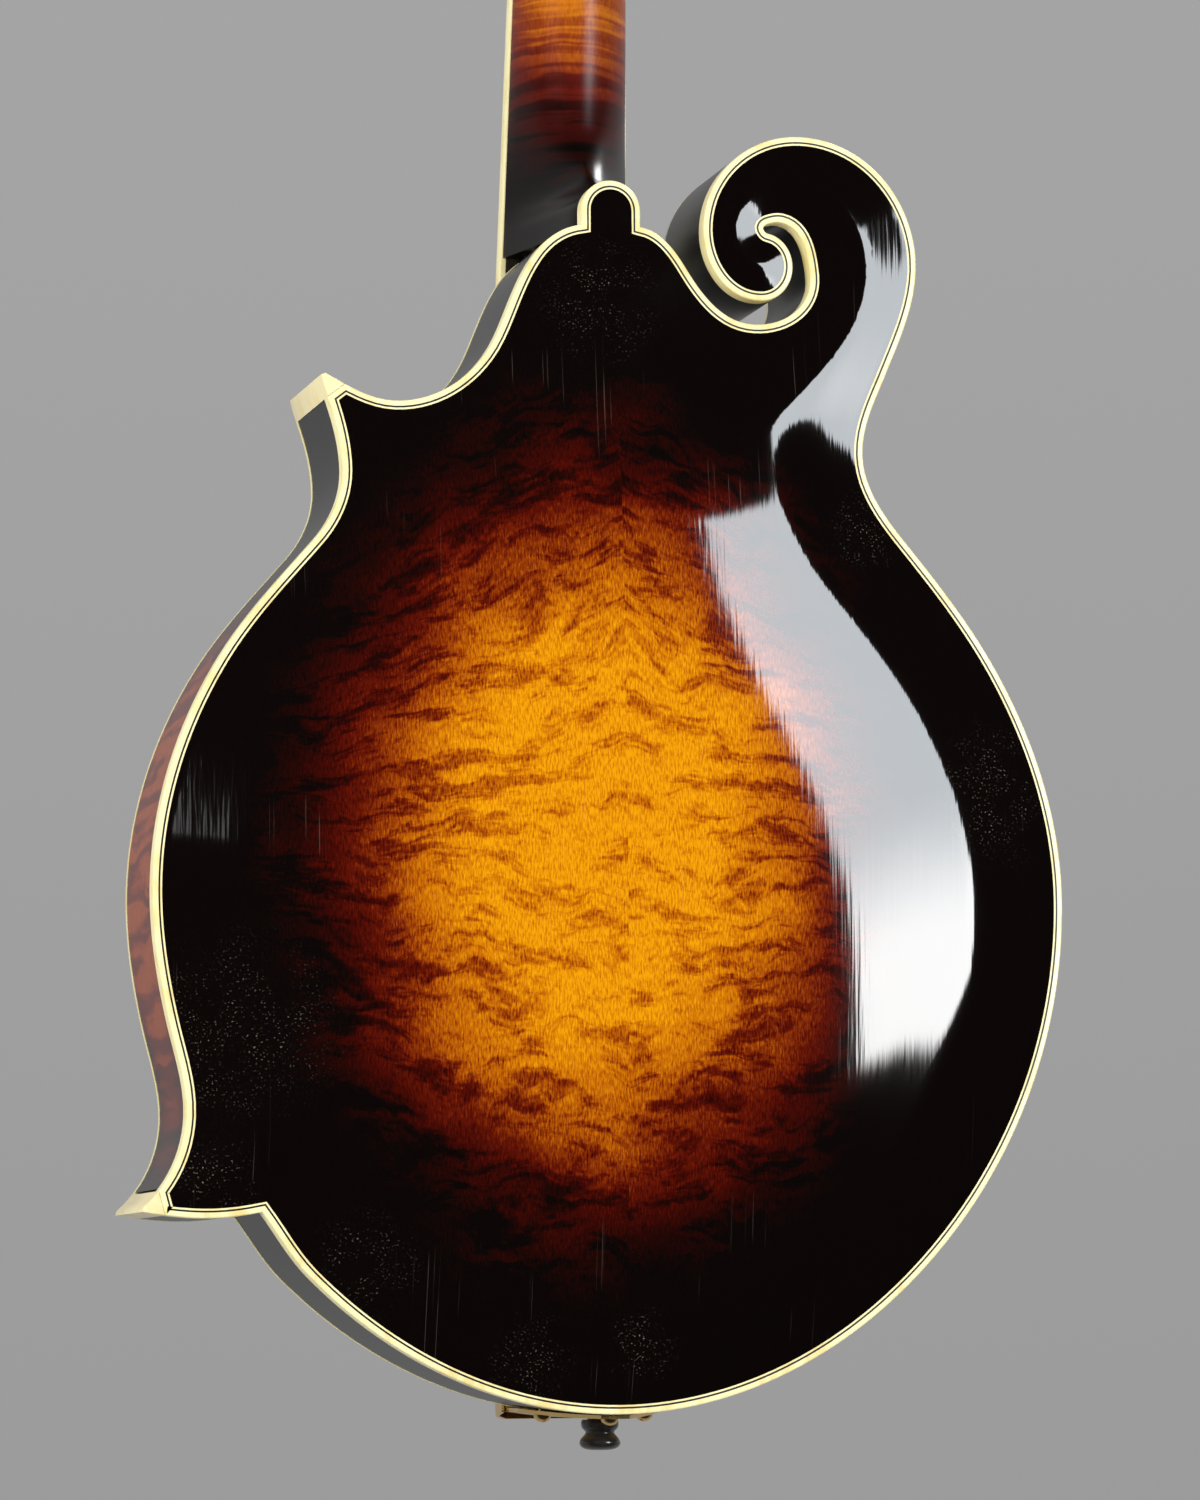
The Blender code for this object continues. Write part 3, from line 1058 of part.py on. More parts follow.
def gear_mesh(shop, name, side, mid):
    """Gear with teeth at the worm's lead angle, on its string post, along Z."""
    worm_slope = WORM_LEAD / (math.pi * (WORM_ROOT + WORM_CREST))
    twist = worm_slope * GEAR_WIDTH / (GEAR_ROOT + GEAR_CREST)
    pitch = 2 * math.pi / GEAR_TEETH
    rings = []
    for end in (-1, 1):
        ring = []
        for tooth in range(GEAR_TEETH):
            centre = -math.pi / 2 + tooth * pitch + side * twist * end
            for share, radius in ((-CREST_SHARE / 2, GEAR_CREST), (CREST_SHARE / 2, GEAR_CREST), (0.5, GEAR_ROOT)):
                angle = centre + share * pitch
                ring.append((radius * math.cos(angle), radius * math.sin(angle), mid + end * GEAR_WIDTH / 2))
        rings.append(ring)
    blank = bpy.data.objects.new(name, loft(name, rings))
    shop.cutters.objects.link(blank)
    face = GAP + VENEER_THICKNESS
    post = turned("post", [(POST_RADIUS * 0.7, mid - GEAR_WIDTH / 2 - 1.1 * MM), (POST_RADIUS * 0.7, mid),
                           (POST_RADIUS, mid), (POST_RADIUS, face + POST_HEIGHT * WAIST_SHARES[0]),
                           (POST_WAIST, face + POST_HEIGHT * (WAIST_SHARES[0] + 0.04)),
                           (POST_WAIST, face + POST_HEIGHT * WAIST_SHARES[1]),
                           (POST_RADIUS, face + POST_HEIGHT * (WAIST_SHARES[1] + 0.06)),
                           (POST_RADIUS, face + POST_HEIGHT)], 8)
    stem = shop.cutter("post_stem", post, None)
    boolean(blank, stem, "UNION")
    mesh = finished_mesh(blank, name)
    bpy.data.objects.remove(blank, do_unlink=True)
    bpy.data.objects.remove(stem, do_unlink=True)
    return mesh


def build_tuners(shop):
    """Two plates with bearing ears, eight worms with knobs and eight gears with posts."""
    plate_low = -HEAD_THICKNESS - GAP - TUNER_PLATE_THICKNESS
    worm_z = plate_low - GAP - WORM_CREST
    centre_distance = WORM_ROOT + GEAR_CREST + 0.25 * MM
    places = post_places()
    first, last = FIRST_POST_Y, FIRST_POST_Y + POST_SPACING * (POST_COUNT - 1)
    reach = WORM_TURNS * WORM_LEAD / 2 + WORM_ROOT_WIDTH + 0.4 * MM
    for side, name in ((-1, "tuner_plate_bass"), (1, "tuner_plate_treble")):
        low_y, high_y = first - centre_distance - TUNER_PLATE_END / 2, last + TUNER_PLATE_END
        half = TUNER_PLATE_WIDTH / 2
        middle = side * POST_X
        ends = [(middle - half, low_y), (middle + half, low_y), (middle + half, high_y), (middle - half, high_y)]
        holes = [circle(POST_RADIUS + 0.6 * MM + GAP, 8, middle, y, math.pi / 8)
                 for _, s, y in places if s == side]
        ears = []
        plate = shop.add(name, slab_mesh(name, [ends, *holes], plate_low, plate_low + TUNER_PLATE_THICKNESS),
                         shop.head, GOLD)
        for _, s, y in places:
            if s != side:
                continue
            for direction in (-1, 1):
                x0 = middle + direction * reach
                x1 = x0 + direction * EAR_THICKNESS
                ears.append(ear_mesh(min(x0, x1), max(x0, x1), y - centre_distance, worm_z,
                                     plate_low + TUNER_PLATE_THICKNESS * 0.5))
        boolean(plate, shop.cutter(name + "_ears", joined(name + "_ears", ears), shop.head), "UNION")
    worms = {side: worm_mesh("tuner_worm", side) for side in (-1, 1)}
    gears = {side: gear_mesh(shop, "tuner_gear", side, worm_z) for side in (-1, 1)}
    for label, side, y in places:
        shop.add("worm_" + label, worms[side], shop.head, GOLD, (side * POST_X, y - centre_distance, worm_z))
        shop.add("gear_" + label, gears[side], shop.head, GOLD, (side * POST_X, y, 0))


def ear_mesh(x0, x1, y, z, root):
    """Bearing ear of a tuner plate, bent up from it, with a hole for the worm's shaft."""
    half = EAR_WIDTH / 2
    tip = z - WORM_SHAFT - 2.0 * MM
    outline = [(y - half, root), (y + half, root), (y + half * 0.7, tip), (y - half * 0.7, tip)]
    hole = circle((WORM_SHAFT + GAP) / math.cos(math.pi / 6), 6, y, z)
    mesh = slab_mesh("ear", [outline, hole], x0, x1)
    mesh.transform(Matrix(((0, 0, 1, 0), (1, 0, 0, 0), (0, 1, 0, 0), (0, 0, 0, 1))))
    return mesh


def string_line():
    """Height over the neck plane at the nut and at the saddle."""
    nut = BOARD_THICKNESS + GAP + FRET_HEIGHT + STRING_ACTION_NUT
    twelfth = BOARD_THICKNESS + GAP + FRET_HEIGHT + STRING_ACTION_TWELFTH
    return nut, 2 * twelfth - nut


def build_bridge(shop, body):
    """Fitted base, threaded studs, thumbwheels and saddle."""
    _, crest = string_line()
    contact = NECK @ Vector((0, -SCALE_LENGTH, crest))
    y, top = contact.y, contact.z - 1.5 * GAP
    base_top = body.top_outer([(0, y)])[0] + GAP + BRIDGE_BASE_HEIGHT
    rings = []
    half = BRIDGE_LENGTH / 2
    for share in (-1, -0.93, -0.78, -0.55, -0.38, -0.15, 0.15, 0.38, 0.55, 0.78, 0.93, 1):
        x = share * half
        reach = abs(share)
        crown = base_top if reach < 0.6 else base_top - (reach - 0.6) ** 1.3 * 15 * MM
        width = BRIDGE_BASE_WIDTH / 2 * (1 if reach < 0.8 else 1 - (reach - 0.8) * 1.2)
        ring = []
        for dy in (-width, width):
            ring.append((x, y + dy, body.top_outer([(x, y + dy)])[0] + GAP + 0.1 * MM))
        low = max(p[2] for p in ring)
        crown = max(crown, low + 1.5 * MM)
        ring += [(x, y + width, low + (crown - low) * 0.45), (x, y + width * 0.6, crown),
                 (x, y - width * 0.6, crown), (x, y - width, low + (crown - low) * 0.45)]
        rings.append(ring)
    base = shop.add("bridge_base", loft("bridge_base", rings), shop.body, EBONY)
    wheel_low = base_top + BRIDGE_WHEEL_LIFT
    wheel_high = wheel_low + BRIDGE_WHEEL_THICKNESS
    saddle_low = wheel_high + GAP
    bore_high = top - SADDLE_ROOF
    stud_low, stud_high = base_top - 4.2 * MM, bore_high - GAP - SADDLE_TRAVEL
    outline = [(-SADDLE_LENGTH / 2, saddle_low), (SADDLE_LENGTH / 2, saddle_low),
               (SADDLE_LENGTH / 2, saddle_low + 2.6 * MM), (SADDLE_LENGTH / 2 - 5 * MM, saddle_low + 3.4 * MM),
               (SADDLE_LENGTH / 2 - 9 * MM, top), (-SADDLE_LENGTH / 2 + 9 * MM, top),
               (-SADDLE_LENGTH / 2 + 5 * MM, saddle_low + 3.4 * MM), (-SADDLE_LENGTH / 2, saddle_low + 2.6 * MM)]
    rings = []
    for direction in (-1, 1):
        ring = []
        for x, z in outline:
            share = (z - saddle_low) / (top - saddle_low)
            half = (SADDLE_WIDTH * (1 - share) + SADDLE_CREST_WIDTH * share) / 2
            ring.append((x, y + direction * half, z))
        rings.append(ring)
    saddle = shop.add("bridge_saddle", loft("bridge_saddle", rings), shop.body, EBONY)
    bores = []
    for x in (-BRIDGE_STUD_X, BRIDGE_STUD_X):
        bores.append(placed(turned("bore", [(BRIDGE_STUD_RADIUS + GAP, bore_high),
                                            (BRIDGE_STUD_RADIUS + GAP, stud_low - GAP)], 8),
                            Matrix.Translation((x, y, 0))))
    cutter = shop.cutter("stud_bores", joined("stud_bores", bores), shop.body)
    boolean(saddle, cutter, "DIFFERENCE")
    studs = [placed(turned("stud", [(BRIDGE_STUD_RADIUS, stud_high), (BRIDGE_STUD_RADIUS, stud_low)], 8),
                    Matrix.Translation((x, y, 0))) for x in (-BRIDGE_STUD_X, BRIDGE_STUD_X)]
    boolean(base, shop.cutter("bridge_studs", joined("bridge_studs", studs), shop.body), "UNION")
    for name, x in (("thumbwheel_bass", -BRIDGE_STUD_X), ("thumbwheel_treble", BRIDGE_STUD_X)):
        wheel = tube_ring(name, BRIDGE_STUD_RADIUS + GAP, BRIDGE_WHEEL_RADIUS, 0, BRIDGE_WHEEL_THICKNESS, 16)
        shop.add(name, wheel, shop.body, BRONZE, (x, y, wheel_low))
    return y


def tail_frame():
    """Frame of the tailpiece's leg: its top face, rising over the soundboard."""
    base = Matrix.Translation((0, -GAP, TOP_Z + GAP + TAIL_LIFT + TAIL_SHEET))
    return base @ Matrix.Rotation(TAIL_RISE, 4, "X")


def tail_arc(low, high, stand_off, count=9):
    """Points between two places across the tail, on its curve moved outwards by a distance."""
    return [(x, TAIL_RADIUS - math.sqrt(TAIL_RADIUS ** 2 - x * x) - stand_off)
            for x in np.linspace(low, high, count)]


def build_tailpiece(shop):
    """Bent sheet held by the end pin and three screws, string hooks and the slide-on cover."""
    half = TAIL_WIDTH / 2
    edge = TOP_Z + GAP + TAIL_LIFT
    taper_half, taper_depth = TAIL_TAPER
    foot_half, foot_height = TAIL_FOOT
    foot = edge - RIM_DEPTH + foot_height
    over = edge + TAIL_SHEET / 2
    right = [(half, over), (half, edge - TAIL_SIDE), (taper_half, edge - taper_depth), (foot_half, foot)]
    face = right + [(-x, z) for x, z in right[::-1]]
    hole = circle(PIN_SHANK_RADIUS + GAP, 12)
    holes = [circle(SCREW_RADIUS + GAP, 6, x, z) for x, z in TAIL_SCREWS]
    blank = slab_mesh("tailpiece_blank", [face, hole, *holes], -TAIL_LIFT * 3, TAIL_LIFT * 3)
    blank.transform(Matrix.Rotation(math.radians(90), 4, "X"))
    bent = shop.cutter("tailpiece_face", blank, shop.body)
    band = tail_arc(-half - MM, half + MM, GAP + TAIL_SHEET, 11) + tail_arc(half + MM, -half - MM, GAP, 11)
    curve = shop.cutter("tail_curve", slab_mesh("tail_curve", [band], BACK_Z, over + MM), shop.body)
    boolean(bent, curve, "INTERSECT")
    front = tail_arc(-half, half, TAIL_SHEET, 11)
    leg = slab_mesh("tailpiece_plate", [front + [(half, TAIL_REACH), (-half, TAIL_REACH)]], -TAIL_SHEET, 0)
    leg.transform(tail_frame())
    plate = shop.add("tailpiece_plate", leg, shop.body, GOLD)
    boolean(plate, bent, "UNION")
    hooks = []
    for x in hook_places():
        peg = box_mesh("hook", (x - HOOK_SIZE / 2, HOOK_Y - 1.5 * HOOK_SIZE, -TAIL_SHEET / 2),
                       (x + HOOK_SIZE / 2, HOOK_Y - HOOK_SIZE / 2, HOOK_LIFT + HOOK_SIZE))
        hooks.append(placed(peg, tail_frame()))
    boolean(plate, shop.cutter("string_hooks", joined("string_hooks", hooks), shop.body), "UNION")

    side = half + GAP + COVER_WALL
    outer = [(-side, -0.5 * MM), (-side, COVER_HEIGHT * 0.6), (-side + 3 * MM, COVER_HEIGHT),
             (side - 3 * MM, COVER_HEIGHT), (side, COVER_HEIGHT * 0.6), (side, -0.5 * MM)]
    inner = [(x - math.copysign(COVER_WALL, x), z - (COVER_WALL if z > 0 else 0)) for x, z in outer]
    section = outer + inner[::-1]
    rings = [[(x, y, z) for x, z in section] for y in (0.5 * MM, TAIL_REACH + 1.5 * MM)]
    piece = shop.add("tailpiece_cover", loft("tailpiece_cover", rings), shop.body, GOLD)
    piece.matrix_local = tail_frame()


def build_end_pin(shop):
    """Turned strap button whose flat face is the origin of the bench."""
    length = PIN_LENGTH
    profile = [(PIN_TIP_RADIUS, 0.0), (PIN_RADIUS * 0.86, 0.6 * MM), (PIN_RADIUS, 1.8 * MM),
               (PIN_RADIUS * 0.93, 3.1 * MM), (PIN_WAIST_RADIUS, 4.6 * MM), (PIN_COLLAR_RADIUS * 0.94, 5.6 * MM),
               (PIN_COLLAR_RADIUS, 6.6 * MM), (PIN_COLLAR_RADIUS * 0.94, length), (PIN_SHANK_RADIUS, length),
               (PIN_SHANK_RADIUS * 0.9, length + PIN_SHANK_LENGTH)]
    pin = turned("end_pin", [(r, -y) for r, y in profile], 16)
    pin.transform(Matrix.Rotation(math.radians(90), 4, "X"))
    shop.add("end_pin", pin, shop.body, EBONY, (0, -BODY_START, 0))


def hook_places():
    """X of the eight hooks."""
    places = []
    for side in (-1, 1):
        for course in HOOK_COURSE_X:
            places += [side * (course + HOOK_PAIR_HALF), side * (course - HOOK_PAIR_HALF)]
    return places


def string_route(side, course, k, radius, post_y):
    """Points of one string from its hook over saddle and nut, wound on its post."""
    outward = 1 if k == 0 else -1
    hook_x = side * (HOOK_COURSE_X[course] + outward * HOOK_PAIR_HALF)
    saddle_x = side * (SADDLE_COURSE_X[course] + outward * SADDLE_PAIR_HALF)
    nut_x = side * (NUT_COURSE_X[course] + outward * NUT_PAIR_HALF)
    nut_z, saddle_z = string_line()
    hook = tail_frame() @ Vector((hook_x, HOOK_Y, HOOK_LIFT + radius))
    saddle = NECK @ Vector((saddle_x, -SCALE_LENGTH, saddle_z + radius))
    nut = NECK @ Vector((nut_x, 0, nut_z + radius))
    behind = NECK @ Vector((nut_x * 1.01, NUT_LENGTH, nut_z + radius))
    to_head = HEAD.inverted()
    start = to_head @ behind
    wrap = (POST_WAIST + GAP + radius) / math.cos(math.pi / WIND_STEPS)
    dx, dy = side * (start.x - side * POST_X), start.y - post_y
    reach = math.hypot(dx, dy)
    angle = math.atan2(dy, -dx) + math.acos(wrap / reach)
    face = GAP + VENEER_THICKNESS
    height = face + POST_HEIGHT * WAIST_SHARES[1] - radius - GAP
    pitch = 2 * radius + WIND_GAP
    turns = []
    for step in range(WIND_TURNS * WIND_STEPS + 1):
        a = angle + 2 * math.pi * step / WIND_STEPS
        z = height - pitch * step / WIND_STEPS
        turns.append((wrap * math.cos(a), wrap * math.sin(a), z))
    last, before = turns[-1], turns[-2]
    run = math.dist(last, before)
    turns.append(tuple(p + (p - q) / run * 2 * radius for p, q in zip(last, before)))
    wound = [HEAD @ Vector((side * (POST_X - x), post_y + y, z)) for x, y, z in turns]
    return [hook, saddle, nut, behind, *wound], turns


def least_gap(turns, radius):
    """Least gap between a winding and its own next turn, measured on the points."""
    points = np.array(turns)
    least = 1.0
    for i in range(len(points) - WIND_STEPS + 2):
        rest = points[i + WIND_STEPS - 2:]
        runs = rest[1:] - rest[:-1]
        share = np.clip(((points[i] - rest[:-1]) * runs).sum(-1) / (runs ** 2).sum(-1), 0, 1)
        near = rest[:-1] + share[:, None] * runs
        if len(near):
            least = min(least, np.sqrt(((points[i] - near) ** 2).sum(-1)).min())
    return least - 2 * radius


def build_strings(shop):
    """Eight strings in four courses: two plain pairs and two wound pairs."""
    order = {"g": (-1, 0), "d": (-1, 1), "e": (1, 0), "a": (1, 1)}
    for letter, (side, course) in order.items():
        radius = STRING_GAUGES[letter] / 2
        for k in (0, 1):
            post_y = FIRST_POST_Y + POST_SPACING * (2 * course + k)
            route, turns = string_route(side, course, k, radius, post_y)
            name = "string_%s%d" % (letter, k + 1)
            print(name, "least gap to itself %.2f mm" % (least_gap(turns, radius) / MM))
            shop.add(name, tube(name, route, radius), shop.body, BRONZE if letter in "gd" else STEEL)


def main():
    """Build the whole mandolin."""
    shop = Workshop()
    body = Body()
    build_box(shop, body)
    build_neck(shop, body)
    build_tuners(shop)
    build_bridge(shop, body)
    build_tailpiece(shop)
    build_end_pin(shop)
    build_strings(shop)
    bpy.context.view_layer.update()


main()
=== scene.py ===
"""Looks of an f-style mandolin: varnish, binding, fittings, studio light and camera.

The pieces are drawn flat on the bench, soundboard up: X to the treble side, Y from the end
pin up the neck, Z out of the soundboard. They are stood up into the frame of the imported
model, where +Z runs up the neck and the carved back faces +Y.
"""

from __future__ import annotations

import json
import logging
import math
from collections.abc import Callable, Sequence
from dataclasses import dataclass
from enum import Enum

import bmesh
import bpy
import numpy as np
from mathutils import Matrix, Vector
from mathutils.geometry import delaunay_2d_cdt

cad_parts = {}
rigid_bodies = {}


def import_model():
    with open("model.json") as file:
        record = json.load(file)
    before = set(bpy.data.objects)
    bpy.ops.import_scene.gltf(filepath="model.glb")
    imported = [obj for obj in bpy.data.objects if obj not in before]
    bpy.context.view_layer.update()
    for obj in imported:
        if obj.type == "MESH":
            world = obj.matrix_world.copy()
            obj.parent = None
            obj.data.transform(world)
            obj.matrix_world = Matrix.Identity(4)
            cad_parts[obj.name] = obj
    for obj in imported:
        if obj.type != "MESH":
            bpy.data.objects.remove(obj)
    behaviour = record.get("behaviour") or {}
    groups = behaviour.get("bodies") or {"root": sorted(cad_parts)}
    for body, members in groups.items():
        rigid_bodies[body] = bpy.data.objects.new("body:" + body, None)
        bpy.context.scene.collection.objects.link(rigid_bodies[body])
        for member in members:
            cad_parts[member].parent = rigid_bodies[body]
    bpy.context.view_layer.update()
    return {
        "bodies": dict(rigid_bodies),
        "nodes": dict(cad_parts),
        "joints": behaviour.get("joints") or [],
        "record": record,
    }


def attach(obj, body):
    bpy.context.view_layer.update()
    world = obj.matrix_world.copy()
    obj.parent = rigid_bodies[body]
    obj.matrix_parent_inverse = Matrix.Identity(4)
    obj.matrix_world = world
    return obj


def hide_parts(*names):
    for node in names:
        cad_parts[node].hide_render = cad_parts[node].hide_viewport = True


LOG = logging.getLogger("mandolin")
MM = 0.001
GAP = 0.3 * MM
BATCH = 2000
Mesh = bpy.types.Mesh
Material = bpy.types.Material
Place = tuple[float, float]
Line = Sequence[Place]
Point = tuple[float, float, float]
Colour = tuple[float, float, float]

RIM_DEPTH = 44.0 * MM
BACK_Z = -RIM_DEPTH / 2
TOP_Z = RIM_DEPTH / 2
BACK_EDGE = 5.0 * MM
TOP_EDGE = 2.0 * MM
RIB_LOW = BACK_Z + BACK_EDGE
RIB_HIGH = TOP_Z - TOP_EDGE
SHOULDER_Y = 322.5 * MM
BUTTON_RADIUS = 8.3 * MM
BUTTON_CENTRE_Y = 326.8 * MM
BODY_START = 9.8 * MM
JOINT_Y = 331.5 * MM
SCALE_LENGTH = 352.4 * MM
NECK_ANGLE = math.radians(5.7)
HEAD_ANGLE = math.radians(14.0)
NUT_LENGTH = 4.5 * MM
JOINT_LENGTH = SCALE_LENGTH * (1 - 2 ** (-15 / 12))
NUT_Y = JOINT_Y + JOINT_LENGTH * math.cos(NECK_ANGLE)
NUT_Z = TOP_Z + 8.0 * MM - JOINT_LENGTH * math.sin(NECK_ANGLE)
BODY = Matrix.Rotation(math.radians(90), 4, "X") @ Matrix.Translation((0, BODY_START, 0))
NECK = BODY @ Matrix.Translation((0, NUT_Y, NUT_Z)) @ Matrix.Rotation(-NECK_ANGLE, 4, "X")
HEAD = NECK @ Matrix.Translation((0, NUT_LENGTH + GAP, 0)) @ Matrix.Rotation(-HEAD_ANGLE, 4, "X")


class Slot(Enum):
    """Material slots of the record that the pieces made here use."""

    MAPLE_BACK = "maple_back"
    SPRUCE_TOP = "spruce_top"
    MAPLE_RIB = "maple_rib"
    NECK_MAPLE = "neck_maple"
    SCROLL_BLOCK = "scroll_block"
    EBONY = "ebony"
    BLACK_VENEER = "black_veneer"
    BINDING = "binding"
    POINT_CAP = "point_cap"
    BONE = "bone"
    GOLD = "gold_plate"
    STEEL = "steel"


class Wire:
    """A value in a node tree. Arithmetic on it adds Math nodes."""

    def __init__(self, tree: "Tree", socket: bpy.types.NodeSocket) -> None:
        """Wrap a socket of a tree."""
        self.tree = tree
        self.socket = socket

    def __add__(self, other: "Wire | float") -> "Wire":
        """Sum."""
        return self.tree.math("ADD", self, other)

    def __radd__(self, other: float) -> "Wire":
        """Sum with a number in front."""
        return self.tree.math("ADD", other, self)

    def __sub__(self, other: "Wire | float") -> "Wire":
        """Difference."""
        return self.tree.math("SUBTRACT", self, other)

    def __rsub__(self, other: float) -> "Wire":
        """Difference from a number."""
        return self.tree.math("SUBTRACT", other, self)

    def __mul__(self, other: "Wire | float") -> "Wire":
        """Product."""
        return self.tree.math("MULTIPLY", self, other)

    def __rmul__(self, other: float) -> "Wire":
        """Product with a number in front."""
        return self.tree.math("MULTIPLY", other, self)

    def __truediv__(self, other: "Wire | float") -> "Wire":
        """Quotient."""
        return self.tree.math("DIVIDE", self, other)

    def __rtruediv__(self, other: float) -> "Wire":
        """Quotient with a number in front."""
        return self.tree.math("DIVIDE", other, self)

    def __pow__(self, other: float) -> "Wire":
        """Power."""
        return self.tree.math("POWER", self, other)

    def __rpow__(self, other: float) -> "Wire":
        """Power of a number in front."""
        return self.tree.math("POWER", other, self)

    def __abs__(self) -> "Wire":
        """Size without its sign."""
        return self.tree.math("ABSOLUTE", self)

    def over(self, other: "Wire | float") -> "Wire":
        """1 where this is more than the other, else 0."""
        return self.tree.math("GREATER_THAN", self, other)

    def least(self, other: "Wire | float") -> "Wire":
        """The lower of two."""
        return self.tree.math("MINIMUM", self, other)

    def most(self, other: "Wire | float") -> "Wire":
        """The higher of two."""
        return self.tree.math("MAXIMUM", self, other)

    def sine(self) -> "Wire":
        """Sine."""
        return self.tree.math("SINE", self)

    def step(self, low: float, high: float) -> "Wire":
        """Smooth step from 0 at one value to 1 at another, which may be the lower.

        Args:
            low: Value at which it is 0.
            high: Value at which it is 1.

        Returns:
            The step.
        """
        ends = (low, high, 0.0, 1.0) if low < high else (high, low, 1.0, 0.0)
        names = ("From Min", "From Max", "To Min", "To Max")
        made = self.tree.node("ShaderNodeMapRange", {"interpolation_type": "SMOOTHSTEP"},
                              {"Value": self, **dict(zip(names, ends))})
        return Wire(self.tree, made.outputs["Result"])


class Tree:
    """Node tree written as expressions."""

    def __init__(self, tree: bpy.types.NodeTree) -> None:
        """Start from an empty tree."""
        self.tree = tree
        tree.nodes.clear()

    def node(self, kind: str, settings: dict | None = None,
             values: dict | None = None) -> bpy.types.Node:
        """Add a node.

        Args:
            kind: Type of the node.
            settings: Its own settings, set first. "stops" holds a ramp's places and colours.
            values: Value or wire for each input socket, by name or index.

        Returns:
            The node.
        """
        made = self.tree.nodes.new(kind)
        for name, value in (settings or {}).items():
            if name == "stops":
                self._stops(made.color_ramp, value)
            else:
                setattr(made, name, value)
        for name, value in (values or {}).items():
            socket = made.inputs[name]
            if isinstance(value, Wire):
                self.tree.links.new(value.socket, socket)
            else:
                socket.default_value = value
        return made

    @staticmethod
    def _stops(ramp: bpy.types.ColorRamp, stops: Sequence[tuple[float, Colour]]) -> None:
        """Give a ramp its stops.

        Args:
            ramp: The node's ramp.
            stops: Place and colour of each stop.
        """
        while len(ramp.elements) < len(stops):
            ramp.elements.new(1.0)
        for element, (place, colour) in zip(ramp.elements, stops):
            element.position = place
            element.color = (*colour, 1)

    def math(self, operation: str, *values: Wire | float) -> Wire:
        """Math node."""
        made = self.node("ShaderNodeMath", {"operation": operation}, dict(enumerate(values)))
        return Wire(self, made.outputs[0])

    def vector(self, parts: Sequence[Wire | float]) -> Wire:
        """Vector from three values."""
        return Wire(self, self.node("ShaderNodeCombineXYZ", None, dict(enumerate(parts))).outputs[0])

    def split(self, vector: Wire) -> list[Wire]:
        """X, Y and Z of a vector."""
        made = self.node("ShaderNodeSeparateXYZ", None, {0: vector})
        return [Wire(self, output) for output in made.outputs]


def spread(*parts: Wire) -> Wire:
    """Length of a vector from its parts.

    Args:
        parts: The parts along each axis.

    Returns:
        The length.
    """
    total = parts[0] * parts[0]
    for part in parts[1:]:
        total = total + part * part
    return total ** 0.5


class Recipe(Tree):
    """Node tree of one finish."""

    def __init__(self, name: str) -> None:
        """Start a material.

        Args:
            name: Name of the material.
        """
        self.material = bpy.data.materials.new(name)
        self.material.use_nodes = True
        super().__init__(self.material.node_tree)

    def place(self) -> list[Wire]:
        """The point's X, Y and Z in millimetres.

        Returns:
            The three values.
        """
        coords = Wire(self, self.node("ShaderNodeTexCoord").outputs["Object"])
        made = self.node("ShaderNodeVectorMath", {"operation": "SCALE"}, {0: coords, "Scale": 1 / MM})
        return self.split(Wire(self, made.outputs[0]))

    def noise(self, at: Sequence[Wire | float], detail: float = 2.0, rough: float = 0.5,
              bend: float = 0.0) -> Wire:
        """Noise whose grains are about one unit of the coordinate.

        Args:
            at: X, Y and Z of the coordinate.
            detail: Number of finer layers.
            rough: Strength of the finer layers.
            bend: How much it is bent.

        Returns:
            Value from 0 to 1.
        """
        made = self.node("ShaderNodeTexNoise", None,
                         {"Vector": self.vector(at), "Scale": 1.0, "Detail": detail,
                          "Roughness": rough, "Distortion": bend})
        return Wire(self, made.outputs[0])

    def cells(self, at: Sequence[Wire | float]) -> Wire:
        """Distance to the nearest of scattered points."""
        made = self.node("ShaderNodeTexVoronoi", {"feature": "F1"},
                         {"Vector": self.vector(at), "Scale": 1.0})
        return Wire(self, made.outputs["Distance"])

    def ramp(self, value: Wire, stops: Sequence[tuple[float, Colour]]) -> Wire:
        """Colour ramp."""
        return Wire(self, self.node("ShaderNodeValToRGB", {"stops": stops}, {0: value}).outputs[0])

    def mix(self, share: Wire | float, first: Wire | Colour, second: Wire | Colour) -> Wire:
        """Mix of two colours.

        Args:
            share: Share of the second colour.
            first: First colour.
            second: Second colour.

        Returns:
            The mixed colour.
        """
        ends = [colour if isinstance(colour, Wire) else (*colour, 1.0) for colour in (first, second)]
        made = self.node("ShaderNodeMix", {"data_type": "RGBA", "clamp_factor": True},
                         {0: share, 6: ends[0], 7: ends[1]})
        return Wire(self, made.outputs[2])

    def bump(self, height: Wire, depth: float, under: Wire | None = None) -> Wire:
        """Bump whose full height is a depth in metres.

        Args:
            height: Height from 0 to 1.
            depth: Full height in metres.
            under: Coarser bump below this one.

        Returns:
            The normal.
        """
        values = {"Height": height, "Distance": depth, "Strength": 1.0}
        if under is not None:
            values["Normal"] = under
        return Wire(self, self.node("ShaderNodeBump", None, values).outputs[0])

    def finish(self, **values: Wire | float | Colour) -> Material:
        """Principled surface from values by socket name, with spaces as underscores.

        Args:
            values: Value, wire or colour of each socket.

        Returns:
            The finished material.
        """
        sockets = {}
        for name, value in values.items():
            if isinstance(value, tuple):
                value = (*value, 1.0)
            sockets[name.replace("_", " ")] = value
        shader = self.node("ShaderNodeBsdfPrincipled", None, sockets)
        self.node("ShaderNodeOutputMaterial", None, {"Surface": Wire(self, shader.outputs[0])})
        return self.material


